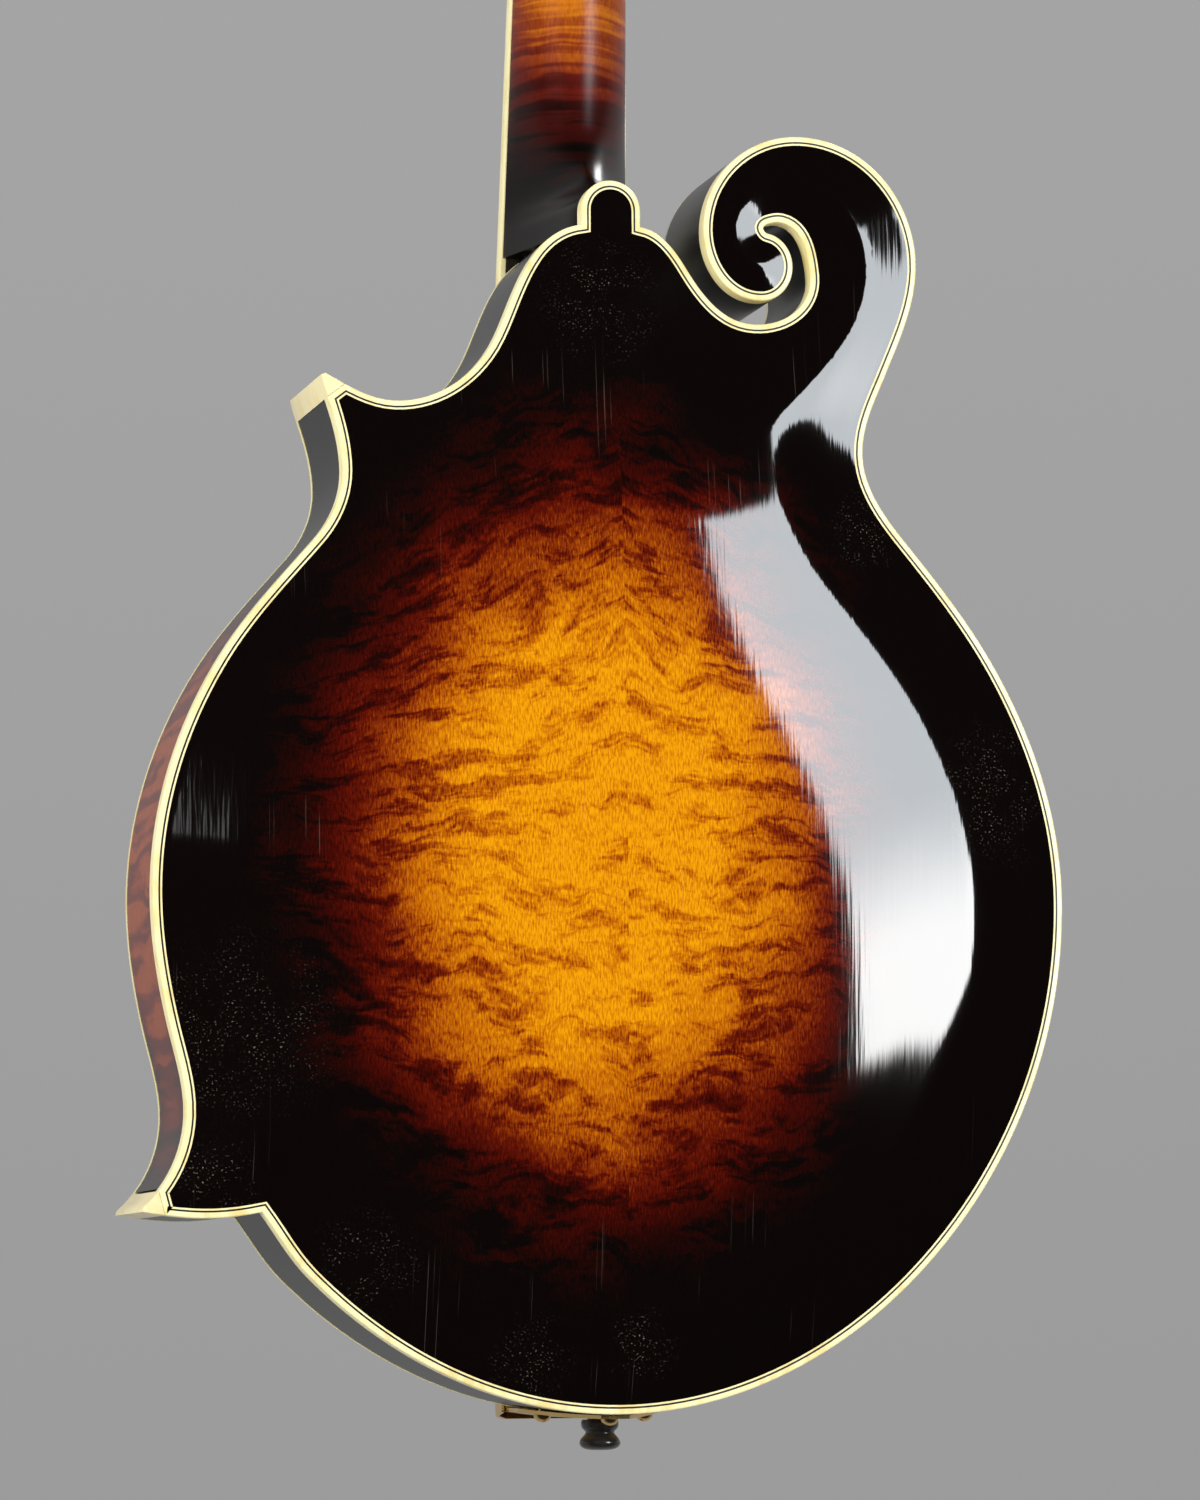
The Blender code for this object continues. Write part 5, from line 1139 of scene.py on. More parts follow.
def band(name: str, loop: Line, section: Line,
         ends: tuple[int, int] | None = None) -> Mesh:
    """Strip swept along a loop.

    Args:
        name: Name of the mesh.
        loop: The line it follows, anticlockwise.
        section: Inset and height of each corner of its section.
        ends: First and last index of an open run. None goes all the way round.

    Returns:
        The mesh.
    """
    rows = [moved_in(loop, distance) for distance, _ in section]
    count = len(loop)
    picked = list(range(count)) if ends is None else [i % count for i in range(ends[0], ends[1] + 1)]
    work = bmesh.new()
    verts = [[work.verts.new((*rows[k][i], z)) for k, (_, z) in enumerate(section)] for i in picked]
    for first, second in zip(verts, verts[1:]):
        bridge(work, first, second)
    if ends is None:
        bridge(work, verts[-1], verts[0])
    else:
        work.faces.new(verts[0])
        work.faces.new(verts[-1])
    return mesh_from(work, name)


def cut(mesh: Mesh, tool: Mesh, operation: str, sharp: float = 35.0) -> Mesh:
    """Exact Boolean of two meshes.

    Args:
        mesh: The piece.
        tool: What is cut from it or added.
        operation: DIFFERENCE or UNION.
        sharp: Angle of the edges that stay sharp.

    Returns:
        The result.
    """
    holder = held(mesh.name, mesh)
    other = held("tool", tool)
    modifier = holder.modifiers.new("cut", "BOOLEAN")
    modifier.object = other
    modifier.operation = operation
    modifier.solver = "EXACT"
    result = evaluated(holder, mesh.name)
    bpy.data.objects.remove(other, do_unlink=True)
    return soften(result, sharp)


def joined(name: str, meshes: Sequence[Mesh]) -> Mesh:
    """Several solids in one mesh.

    Args:
        name: Name of the mesh.
        meshes: The solids.

    Returns:
        The mesh.
    """
    work = bmesh.new()
    for mesh in meshes:
        work.from_mesh(mesh)
    result = bpy.data.meshes.new(name)
    work.to_mesh(result)
    work.free()
    return result


@dataclass
class Fitter:
    """Puts finished meshes into the scene on their bodies."""

    palette: Palette

    def add(self, mesh: Mesh, frame: Matrix, finish: Material, slot: Slot,
            replaces: Sequence[str] = (), body: str = "instrument") -> bpy.types.Object:
        """Stand a mesh up in its frame.

        Args:
            mesh: The piece, in its frame.
            frame: Where the frame stands.
            finish: Its material.
            slot: The record's slot of the finish. Not used.
            replaces: CAD nodes that it stands for.
            body: Body that it rides on.

        Returns:
            The piece.
        """
        mesh.transform(frame)
        mesh.materials.clear()
        mesh.materials.append(finish)
        piece = held(mesh.name, mesh)
        piece.name = mesh.name
        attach(piece, body)
        if replaces:
            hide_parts(*replaces)
        LOG.info("%s: %d faces on %s", piece.name, len(mesh.polygons), body)
        return piece

    def copies(self, name: str, shape: Mesh, spots: Sequence["Spot"], frame: Matrix,
               finish: Material, slot: Slot) -> None:
        """Put the same shape at several spots, as one piece."""
        self.add(Scatter(shape, spots, finish).mesh(name), frame, finish, slot)

    def dress(self, frame: dict, names: Sequence[str], finish: Material) -> None:
        """Give CAD nodes their material.

        Args:
            frame: The loaded model.
            names: The nodes.
            finish: Their material.
        """
        for name in names:
            data = frame["nodes"][name].data
            data.materials.clear()
            data.materials.append(finish)
            LOG.info("%s keeps its solid", name)


@dataclass
class Plan:
    """Plan and carving of the body."""

    back_arch: float = 13.0 * MM
    top_arch: float = 15.0 * MM
    arch_inset: float = 72.0 * MM
    arch_power: float = 2.1
    ridge_height: float = 5.2 * MM
    ridge_start: float = 2.6 * MM
    ridge_reach: float = 28.0 * MM
    arm_height: float = 3.0 * MM
    arm_foot: float = 272.0 * MM
    arm_blend: float = 34.0 * MM
    button_drop: float = 0.8
    glue_margin: float = 9.0 * MM
    hollow_blend: float = 14.0 * MM
    plate_thickness: float = 4.5 * MM
    cap_length: float = 5.5 * MM
    slot_tip: Place = (-44.6 * MM, 323.6 * MM)
    scroll_top: Place = (-54.0 * MM, 349.8 * MM)
    lower_tip: Place = (129.0 * MM, 54.7 * MM)
    upper_tip: Place = (80.2 * MM, 278.4 * MM)
    bass_waist: Place = (-71.1 * MM, 261.5 * MM)

    def __post_init__(self) -> None:
        """Work out the loops."""
        self.full = path(self.runs())
        lower, self.lower_cap = cut_tip(self.full, self.lower_tip, -15, self.cap_length)
        self.outline, self.upper_cap = cut_tip(lower, self.upper_tip, 52, self.cap_length)
        self.bare = [p for p in self.outline
                     if p[1] < SHOULDER_Y + 0.4 * MM or abs(p[0]) > BUTTON_RADIUS + MM]

    def runs(self) -> list[list[Point]]:
        """Runs of knots round the body, anticlockwise from the heel button's right foot.

        Returns:
            The runs: button, scroll with bass side, lower point, treble side and cutaway.
        """
        foot, shoulder, centre = 8.3, 322.5, 326.8
        sx, sy = (v / MM for v in self.slot_tip)
        button = scaled((foot, shoulder, 90), (foot, centre, 90), (0, centre + foot, 180),
                        (-foot, centre, 270), (-foot, shoulder, 270))
        scroll = scaled((-foot, shoulder, 188), (-20.9, 312.0, 238), (-38.5, 296.9, 187),
                        (-56.6, 311.0, 85), (sx - 4, sy + 1.9, 10), (sx, sy + 1.3, -20),
                        (sx + 1.17, sy - 0.26, -115), (sx, sy - 1.3, 190), (-51.6, 314.2, 265),
                        (-42.6, 303.4, 358), (-26.2, 322.5, 90), (-54.0, 349.8, 180),
                        (-87.2, 317.0, 267), (-78.0, 284.0, 293), (-71.1, 261.5, 269),
                        (-83.0, 237.6, 230), (-109.0, 202.2, 240.5), (-127.0, 139.0, 270),
                        (-84.3, 37.0, 315), (0, 0, 0), (84.3, 37.0, 45), (97.0, 54.0, 53))
        lower = scaled((97.0, 54.0, -12), (113.0, 52.4, 1), (129.0, 54.1, 10))
        side = scaled((128.7, 55.3, 139), (117.3, 79.5, 92), (121.6, 103.0, 76.5), (126.4, 139.0, 90),
                      (108.0, 202.0, 121.5), (82.4, 234.0, 131), (74.9, 252.5, 90), (77.2, 266.8, 74),
                      (80.8, 278.4, 76))
        cutaway = scaled((79.6, 278.9, 208), (60.5, 272.0, 180), (35.5, 285.6, 126), (28.5, 300.0, 112),
                         (21.3, 314.2, 126), (foot, shoulder, 172))
        return [button, scroll, lower, side, cutaway]

    def carving(self, points: Line, arch: float) -> np.ndarray:
        """Rise of a carved surface over the rim: a ridge inside the edge, then the dome.

        Args:
            points: Places in the outline.
            arch: Height of the dome.

        Returns:
            The rise at each place.
        """
        direct = clearance(points, self.full)
        smooth = smooth_inset(points, self.full)
        dome = np.sin(np.clip(smooth / self.arch_inset, 0, 1) * math.pi / 2) ** self.arch_power
        share = np.clip((direct - self.ridge_start) / self.ridge_reach, 0, 1)
        ridge = np.sin(share * math.pi / 2)
        x, y = np.asarray(points, float).T
        body = eased((self.arm_foot - y) / self.arm_blend)
        height = self.arm_height + (self.ridge_height - self.arm_height) * body
        past = np.clip((y - SHOULDER_Y + 6 * MM) / (8 * MM), 0, 1)
        button = past * np.clip(2.2 - np.abs(x) / (6 * MM), 0, 1)
        height = height * (1 - self.button_drop * button)
        return (arch - height) * dome * eased(share) + height * ridge

    def hollow(self, points: Line, arch: float, edge: float) -> np.ndarray:
        """Rise of the inner surface over its flat glue margin.

        Args:
            points: Places in the outline.
            arch: Height of the dome.
            edge: Thickness of the plate's edge.

        Returns:
            The rise at each place.
        """
        margin = eased((clearance(points, self.full) - self.glue_margin) / self.hollow_blend)
        return np.maximum(self.carving(points, arch) + edge - self.plate_thickness, 0) * margin

    def back_outer(self, points: Line) -> np.ndarray:
        """Height of the back's outer surface."""
        return BACK_Z - self.carving(points, self.back_arch)

    def top_outer(self, points: Line) -> np.ndarray:
        """Height of the soundboard's outer surface."""
        return TOP_Z + self.carving(points, self.top_arch)

    def back_inner(self, points: Line) -> np.ndarray:
        """Height of the back's inner surface."""
        return BACK_Z + BACK_EDGE - self.hollow(points, self.back_arch, BACK_EDGE)

    def top_inner(self, points: Line) -> np.ndarray:
        """Height of the soundboard's inner surface."""
        return TOP_Z - TOP_EDGE + self.hollow(points, self.top_arch, TOP_EDGE)

    def filling(self, loop: Line, rows: Line, grid: float,
                start: float) -> list[Place]:
        """Points inside a loop: rows at given insets and spacings, then a grid beyond the last.

        Args:
            loop: The loop.
            rows: Inset and spacing of each row.
            grid: Spacing of the grid.
            start: Inset at which the grid begins.

        Returns:
            The points.
        """
        points = []
        for distance, spacing in rows:
            points += inset(loop, distance, spacing)
        columns = np.arange(-140 * MM, 141 * MM, grid)
        lines = np.arange(0, 360 * MM, grid * 0.87)
        field = [(x + (k % 2) * grid / 2, y) for k, y in enumerate(lines) for x in columns]
        keep = inside(field, loop) & (clearance(field, loop) > start)
        return points + [p for p, k in zip(field, keep) if k]


def plate_surface(work: bmesh.types.BMesh, loops: Sequence[Line], points: list[Place],
                  height: Callable[[Line], np.ndarray], clear: float) -> dict:
    """Triangulated carved surface.

    Args:
        work: The mesh that takes it.
        loops: Outline and holes.
        points: Points between them.
        height: Gives the surface's height at places.
        clear: How far points stay from a hole.

    Returns:
        The vertex at each of the loops' points, counted through all loops.
    """
    free = points
    for hole in loops[1:]:
        away = (clearance(free, hole) > clear) & ~inside(free, hole)
        free = [p for p, k in zip(free, away) if k]
    coords, edges = [], []
    for loop in loops:
        base = len(coords)
        coords += [Vector(p) for p in loop]
        edges += [(base + i, base + (i + 1) % len(loop)) for i in range(len(loop))]
    rim = len(coords)
    coords += [Vector(p) for p in free]
    flat, _, triangles, origin, _, _ = delaunay_2d_cdt(coords, edges, [], 0, 1e-7)
    places = [(v.x, v.y) for v in flat]
    verts = [work.verts.new((x, y, z)) for (x, y), z in zip(places, height(places))]
    middles = np.asarray(places)[np.asarray([list(t) for t in triangles])].mean(axis=1)
    keep = inside(middles, loops[0])
    for hole in loops[1:]:
        keep &= ~inside(middles, hole)
    for triangle, wanted in zip(triangles, keep):
        if wanted:
            work.faces.new([verts[i] for i in triangle])
    return {source: verts[i] for i, sources in enumerate(origin) for source in sources if source < rim}


@dataclass
class Box:
    """Sound box: plates, binding, ribs, blocks and caps."""

    plan: Plan
    fitter: Fitter
    binding: float = 1.5 * MM
    black_line: float = 0.5 * MM
    cream_line: float = 0.5 * MM
    rib: float = 2.0 * MM
    grid: float = 1.9 * MM
    edge_ease: float = 0.5 * MM
    line_depth: float = 1.2 * MM
    fine_rows: tuple[Place, ...] = ((0.8, 0.9), (1.8, 1.2), (3.0, 1.5))
    coarse_rows: tuple[Place, ...] = ((5.0, 6.0),)

    def plate(self, name: str, loops: list, outer: Callable, inner: Callable) -> Mesh:
        """Plate between two carved surfaces that share its edges.

        Args:
            name: Name of the mesh.
            loops: Outline and holes.
            outer: Gives the outer surface's height.
            inner: Gives the inner surface's height.

        Returns:
            The mesh.
        """
        work = bmesh.new()
        fine = self.plan.filling(loops[0], scaled(*self.fine_rows), self.grid, 4.3 * MM)
        coarse = self.plan.filling(loops[0], scaled(*self.coarse_rows), 7.0 * MM, 9 * MM)
        sides = ((fine, outer, 0.8 * MM), (coarse, inner, 2.5 * MM))
        rims = [plate_surface(work, loops, points, height, clear) for points, height, clear in sides]
        base = 0
        for loop in loops:
            for i in range(len(loop)):
                j, k = base + (i + 1) % len(loop), base + i
                work.faces.new((rims[0][k], rims[0][j], rims[1][j], rims[1][k]))
            base += len(loop)
        for vert in [v for v in work.verts if not v.link_faces]:
            work.verts.remove(vert)
        return mesh_from(work, name, 50.0)

    def edging(self, label: str, loop: list[Place], face: float, side: float, node: str) -> list[Place]:
        """Binding with its two lines.

        Args:
            label: Start of the pieces' names.
            loop: The plate's outline.
            face: Height of the plate's edge.
            side: Height of the binding's other end.
            node: CAD node that the binding stands for.

        Returns:
            The loop inside the lines.
        """
        out = math.copysign(1.0, face - side)
        ease = self.edge_ease
        arc = [(ease * (1 - math.sin(a)), face - out * ease * (1 - math.cos(a)))
               for a in np.linspace(math.pi / 2, 0, 5)]
        section = [(0.0, side), *arc, (self.binding, face), (self.binding, side)]
        palette = self.fitter.palette
        mesh = band(label + "_binding_strip", loop, section)
        self.fitter.add(mesh, BODY, palette.binding, Slot.BINDING, [node])
        start = self.binding
        for name, width, finish in (("black_line", self.black_line, palette.line),
                                    ("cream_line", self.cream_line, palette.binding)):
            end = start + width
            deep = face - out * self.line_depth
            corners = [(start, deep), (start, face), (end, face), (end, deep)]
            mesh = band(label + "_" + name, loop, corners)
            self.fitter.add(mesh, BODY, finish, Slot.BINDING)
            start = end
        return [tuple(p) for p in moved_in(loop, start)]

    def fhole(self, side: int) -> list[Place]:
        """Outline of a sound hole: a ribbon along an S with an eye at each hooked end.

        Args:
            side: 1 on the treble side, -1 on the bass side.

        Returns:
            The outline.
        """
        knots = scaled((40.5, 201.5, 105), (47.5, 206.5, -35), (53.0, 172.0, -82),
                       (60.0, 134.5, -50), (69.0, 139.0, 105))
        centre = [p for start, end in zip(knots, knots[1:]) for p in arc_span(start, end, 0.03 * MM)]
        points = np.array(centre + [knots[-1][:2]])
        travel = np.r_[0, np.cumsum(np.sqrt((np.diff(points, axis=0) ** 2).sum(-1)))]
        shares, widths = (0, 0.05, 0.11, 0.5, 0.9, 0.955, 1), (2.6, 3.0, 1.2, 2.3, 1.2, 3.4, 3.0)
        half = steady(shares, np.array(widths) * MM, travel / travel[-1])
        along = np.gradient(points, axis=0)
        along /= np.sqrt((along ** 2).sum(-1))[:, None]
        across = np.c_[-along[:, 1], along[:, 0]] * half[:, None]
        round_end = 0.8
        loop = [points[0] - along[0] * half[0] * round_end, *(points - across),
                points[-1] + along[-1] * half[-1] * round_end, *(points + across)[::-1]]
        return [(side * x, y) for x, y in loop]

    def ribs(self) -> None:
        """Four bent ribs."""
        loop = self.plan.outline
        ux, uy = self.plan.upper_tip
        lx, ly = self.plan.lower_tip
        cap = self.plan.cap_length
        runs = {"rib_bass": (self.plan.scroll_top, (0, 0)),
                "rib_treble_lower": ((0, 0), (lx - cap, ly - 0.6 * MM)),
                "rib_treble_waist": ((lx - cap, ly + 5 * MM), (ux, uy - cap)),
                "rib_cutaway": ((ux - cap, uy - 2 * MM), (BUTTON_RADIUS, SHOULDER_Y))}
        skin = GAP / 2
        section = [(skin, RIB_LOW), (skin, RIB_HIGH), (self.rib, RIB_HIGH), (self.rib, RIB_LOW)]
        for node, (first, last) in runs.items():
            a, b = nearest_index(loop, first), nearest_index(loop, last)
            b += len(loop) if b <= a else 0
            mesh = band(node + "_maple", loop, section, (a, b))
            self.fitter.add(mesh, BODY, self.fitter.palette.rib, Slot.MAPLE_RIB, [node])

    def blocks(self) -> None:
        """Head block with the scroll, and the point caps."""
        loop = self.plan.outline
        tight = inset(loop, self.rib + GAP)
        waist = (self.plan.bass_waist[0], self.plan.bass_waist[1] - 4 * MM)
        scroll = run_between(loop, (-BUTTON_RADIUS, SHOULDER_Y), self.plan.scroll_top)
        hidden = run_between(tight, self.plan.scroll_top, waist)
        inner = run_between(tight, (38 * MM, 276 * MM), (BUTTON_RADIUS + 3 * MM, SHOULDER_Y))
        mesh = slab("scroll_and_head_block", [scroll[:-1] + hidden + inner], RIB_LOW, RIB_HIGH)
        socket = slab("socket", [Neck.tenon_outline(GAP, 4 * MM)], BACK_Z, TOP_Z + 10 * MM)
        mesh = cut(mesh, socket, "DIFFERENCE")
        palette = self.fitter.palette
        self.fitter.add(mesh, BODY, palette.block, Slot.SCROLL_BLOCK, ["head_block"])
        caps = {"lower_point_cap": self.plan.lower_cap, "upper_point_cap": self.plan.upper_cap}
        for node, outline in caps.items():
            mesh = slab(node + "_ivoroid", [outline], BACK_Z, TOP_Z, 0.35 * MM)
            self.fitter.add(mesh, BODY, palette.cap, Slot.POINT_CAP, [node])

    def build(self) -> None:
        """Make the whole box."""
        palette = self.fitter.palette
        loop = self.edging("back", self.plan.outline, BACK_Z, BACK_Z + BACK_EDGE, "back_binding")
        mesh = self.plate("carved_back", [loop], self.plan.back_outer, self.plan.back_inner)
        self.fitter.add(mesh, BODY, palette.back, Slot.MAPLE_BACK, ["back_plate"])
        loop = self.edging("top", self.plan.bare, TOP_Z, TOP_Z - TOP_EDGE, "top_binding")
        holes = [self.fhole(1), self.fhole(-1)[::-1]]
        mesh = self.plate("carved_top", [loop, *holes], self.plan.top_outer, self.plan.top_inner)
        self.fitter.add(mesh, BODY, palette.top, Slot.SPRUCE_TOP, ["top_plate"])
        self.ribs()
        self.blocks()


@dataclass
class Neck:
    """Neck, headstock and fingerboard."""

    plan: Plan
    fitter: Fitter
    board_length: float = 262.0 * MM
    board_thickness: float = 5.6 * MM
    board_taper: float = 0.0215
    nut_width: float = 27.0 * MM
    head_thickness: float = 14.0 * MM
    head_length: float = 158.0 * MM
    head_half: float = 35.0 * MM
    veneer: float = 1.7 * MM
    binding: float = 1.5 * MM
    shaft_nut: float = 14.0 * MM
    shaft_heel: float = 17.0 * MM
    fret_count: int = 22

    @staticmethod
    def tenon_outline(clear: float, past: float) -> list[Place]:
        """Dovetail tenon seen from above, widened by a clearance.

        Args:
            clear: The clearance.
            past: How far it runs on past the shoulder.

        Returns:
            The outline.
        """
        root, end, length = 5.4 * MM, 8.0 * MM, 17.0 * MM
        top, low = SHOULDER_Y + past, SHOULDER_Y - length - clear
        return [(root + clear, top), (-root - clear, top), (-end - clear, low), (end + clear, low)]

    def board_half(self, distance: float) -> float:
        """Half width of the fingerboard at a distance from the nut."""
        return self.nut_width / 2 + self.board_taper * distance

    def head_outline(self) -> list[Place]:
        """Outline of the headstock from the nut: waist, ears, taper, horn and scroll.

        Returns:
            The outline's points.
        """
        foot, w, top = self.nut_width / MM / 2 + 1.2, self.head_half / MM, self.head_length / MM
        right = scaled((foot, -0.3, 90), (foot + 1, 3, 75), (w - 6, 15, 40), (w + 1, 17.5, 20))
        side = scaled((w + 1, 19.5, 150), (w - 3.6, 27, 95), (w - 5, 70, 94), (w - 5, 108, 84),
                      (w + 2, top - 29, 62), (w + 8, top - 21, 48))
        crown = scaled((w + 7, top - 19, 185), (w - 14, top - 23, 205), (4, top - 25, 150),
                       (-8, top - 6, 122), (-25, top, 180), (-w - 6, top - 15, 262),
                       (-w + 2, top - 26, 0), (-w + 7, top - 20, 75))
        curl = scaled((-w + 8.4, top - 19.4, 265), (-w + 6, top - 31, 246), (-w + 3, top - 40, 268),
                      (-w + 5, 108, 276), (-w + 5, 70, 266), (-w + 3.6, 27, 265), (-w - 1, 19.5, 210))
        left = scaled((-w - 1, 17.5, 340), (-w + 6, 15, 320), (-foot - 1, 3, 285), (-foot, -0.3, 270))
        return path([right, side, crown, curl, left], 0.05 * MM)

    @staticmethod
    def section(y: float, top: float, sizes: Sequence[float]) -> list[Point]:
        """Cross-section of the neck: flat on top, rounded or narrowing below.

        Args:
            y: Where it stands.
            top: Height of its flat side.
            sizes: Half width on top, half width below, depth and squareness.

        Returns:
            Points round the section.
        """
        half, low_half, depth, square = sizes
        right = []
        for angle in np.linspace(0, math.pi / 2, 17):
            t = math.sin(angle)
            fade = max(1 - t, 0.0) ** 1.3
            width = (half * fade + low_half * (1 - fade)) * math.sqrt(max(1 - t ** square, 0.0006))
            right.append((width, y, top - depth * t))
        return right + [(-x, y, z) for x, y, z in right[::-1]]

    def shaft(self) -> Mesh:
        """Extension over the soundboard, heel and shaft as one smooth skin.

        Returns:
            The mesh.
        """
        slope = math.tan(NECK_ANGLE)

        def top(y: float) -> float:
            """Height of the glued face."""
            return NUT_Z + (NUT_Y - y) * slope

        rings = []
        for y in np.linspace(NUT_Y - self.board_length + 10 * MM, SHOULDER_Y + GAP, 9):
            half = self.board_half(NUT_Y - y) - 5 * MM
            crown = self.plan.top_outer([(half * share, y) for share in (-1, -0.5, 0, 0.5, 1)]).max()
            rings.append(self.section(y, top(y), (half, half, top(y) - crown - 2 * GAP, 24)))
        tip = BUTTON_CENTRE_Y + BUTTON_RADIUS
        heel = 8.0 * MM
        rest = self.nut_width / 2 + 0.6 * MM
        table = [(SHOULDER_Y + 1.4 * GAP, heel, None, 24),
                 (SHOULDER_Y + 7 * MM, heel - 0.6 * MM, None, 20),
                 (tip - 2.4 * MM, 5 * MM, None, 10), (tip + 1.2 * MM, 4.5 * MM, 38 * MM, 5),
                 (tip + 5 * MM, 6 * MM, 30.5 * MM, 3.4), (tip + 12 * MM, 9.5 * MM, 23.5 * MM, 2.6),
                 (tip + 22 * MM, 13 * MM, 19 * MM, 2.2), (tip + 38 * MM, 15 * MM, self.shaft_heel, 2.1)]
        sizes = []
        for y, low, deep, square in table:
            deep = top(y) - RIB_LOW if deep is None else deep
            sizes.append((y, self.board_half(NUT_Y - y) - 0.2 * MM, low, deep, square))
        start = tip + 38 * MM
        for share in (0.35, 0.7, 0.93):
            y = start + (NUT_Y - start) * share
            half = self.board_half(NUT_Y - y) - 0.2 * MM
            deep = self.shaft_heel + (self.shaft_nut - self.shaft_heel) * share
            sizes.append((y, half, half * 0.98, deep, 2.1))
        sizes.append((NUT_Y + 1 * MM, rest, rest, self.shaft_nut, 2.3))
        columns = list(zip(*sizes))
        for y in np.r_[np.linspace(columns[0][0], start, 42), np.linspace(start, NUT_Y + MM, 30)[1:]]:
            values = [float(steady(columns[0], column, np.array([y]))[0]) for column in columns[1:]]
            rings.append(self.section(y, top(y), values))
        end = NUT_Y + NUT_LENGTH + 5 * MM
        root = (rest, rest * 0.96, self.shaft_nut + 0.5 * MM, 3)
        rings.append(self.section(end, top(end) - 2.6 * MM, root))
        return loft("neck_and_headstock", rings, 40.0)

    def post_bores(self) -> Mesh:
        """Drills for the eight string posts.

        Returns:
            The drills as one mesh.
        """
        radius = Tuners.post_radius + 1.0 * MM + GAP
        bores = []
        for post in Tuners.posts():
            mesh = turned("bore", [(radius, 10 * MM), (radius, -self.head_thickness - 5 * MM)], 28)
            mesh.transform(Matrix.Translation((post.side * Tuners.post_x, post.y, 0)))
            bores.append(mesh)
        return joined("bores", bores)

    def build(self) -> None:
        """Make the neck and what is glued to it."""
        palette = self.fitter.palette
        neck = self.shaft()
        core = slab("core", [self.head_outline()], -self.head_thickness, 0, 0.6 * MM)
        core.transform(BODY.inverted() @ HEAD)
        neck = cut(neck, core, "UNION")
        tenon = slab("tenon", [self.tenon_outline(0, 3 * MM)], RIB_LOW + MM, RIB_HIGH - MM)
        neck = cut(neck, tenon, "UNION")
        bores = self.post_bores()
        bores.transform(BODY.inverted() @ HEAD)
        neck = cut(neck, bores, "DIFFERENCE", 40.0)
        self.fitter.add(neck, BODY, palette.neck, Slot.NECK_MAPLE, ["neck"])
        self.faceplate()
        self.board()

    def faceplate(self) -> None:
        """Black veneer with its binding, and the rod cover."""
        palette = self.fitter.palette
        front = [(x, y) for x, y in self.head_outline() if y > GAP]
        inner = inset(front, self.binding)
        high = self.veneer + GAP
        veneer = cut(slab("headstock_black_veneer", [inner], 0, high), self.post_bores(), "DIFFERENCE")
        self.fitter.add(veneer, HEAD, palette.veneer, Slot.BLACK_VENEER, ["headstock_veneer"])
        strip = slab("headstock_binding", [front, inner], 0, high)
        self.fitter.add(strip, HEAD, palette.binding, Slot.BINDING)
        cover = path([scaled((5.5, 5, 90), (7.5, 13, 85), (0.0, 33, 118)),
                      scaled((0.0, 33, 242), (-7.5, 13, 275), (-5.5, 5, 270))])
        mesh = slab("rod_cover", [cover], high, high + 1.5 * MM, 0.35 * MM)
        self.fitter.add(mesh, HEAD, palette.veneer, Slot.EBONY, ["truss_rod_cover"])

    def board(self) -> None:
        """Fingerboard with its binding, frets and position dots."""
        palette = self.fitter.palette
        half, length = self.board_half, self.board_length
        outline = [(half(0), -GAP), (-half(0), -GAP), (-half(length), -length + 4 * MM),
                   (-4 * MM, -length - 2 * MM), (12 * MM, -length + 8 * MM),
                   (half(length), -length + 14 * MM)]
        wood = inset(outline, self.binding)
        high = GAP + self.board_thickness
        plank = slab("fingerboard_ebony", [wood], 0, high)
        self.fitter.add(plank, NECK, palette.ebony, Slot.EBONY, ["fingerboard"])
        strip = slab("fingerboard_edge", [outline, wood], 0, high, 0.2 * MM)
        self.fitter.add(strip, NECK, palette.binding, Slot.BINDING, ["fingerboard_binding"])
        wide, tall, sunk = 0.8 * MM, 1.1 * MM, 0.3 * MM
        bow = [(wide * math.cos(a), tall * math.sin(a) - (sunk if a < 0 else 0))
               for a in np.linspace(-0.3, math.pi + 0.3, 11)]
        fret = loft("fret", [[(x, *point) for point in bow] for x in (-1, -0.985, 0.985, 1)])
        spots = []
        for number in range(1, self.fret_count + 1):
            y = -SCALE_LENGTH * (1 - 2 ** (-number / 12))
            left, right = self.span_at(wood, y)
            spots.append(Spot(((left + right) / 2, y, high), size=((right - left) / 2, 1, 1)))
        self.fitter.copies("frets", fret, spots, NECK, palette.fret, Slot.STEEL)
        dot = turned("dot", [(1, -0.4 * MM), (1, 0.02 * MM)], 24)
        spots = []
        for number, xs in ((5, (0,)), (7, (0,)), (10, (0,)), (12, (-6, 6)), (15, (0,))):
            y = -SCALE_LENGTH * (1 - (2 ** (-number / 12) + 2 ** (-(number - 1) / 12)) / 2)
            spots += [Spot((x * MM, y, high), size=(3 * MM, 3 * MM, 1)) for x in xs]
        self.fitter.copies("position_dots", dot, spots, NECK, palette.pearl, Slot.BONE)

    @staticmethod
    def span_at(loop: Line, y: float) -> Place:
        """Where a level line runs inside an outline.

        Args:
            loop: The outline.
            y: Where the line is.

        Returns:
            Its two ends.
        """
        ring = list(loop) + [loop[0]]
        found = [x0 + (x1 - x0) * (y - y0) / (y1 - y0)
                 for (x0, y0), (x1, y1) in zip(ring, ring[1:]) if (y0 > y) != (y1 > y)]
        return min(found), max(found)


@dataclass(frozen=True)
class Spot:
    """Where a repeated shape stands."""

    at: Point
    turn: Point = (0.0, 0.0, 0.0)
    size: Point = (1.0, 1.0, 1.0)


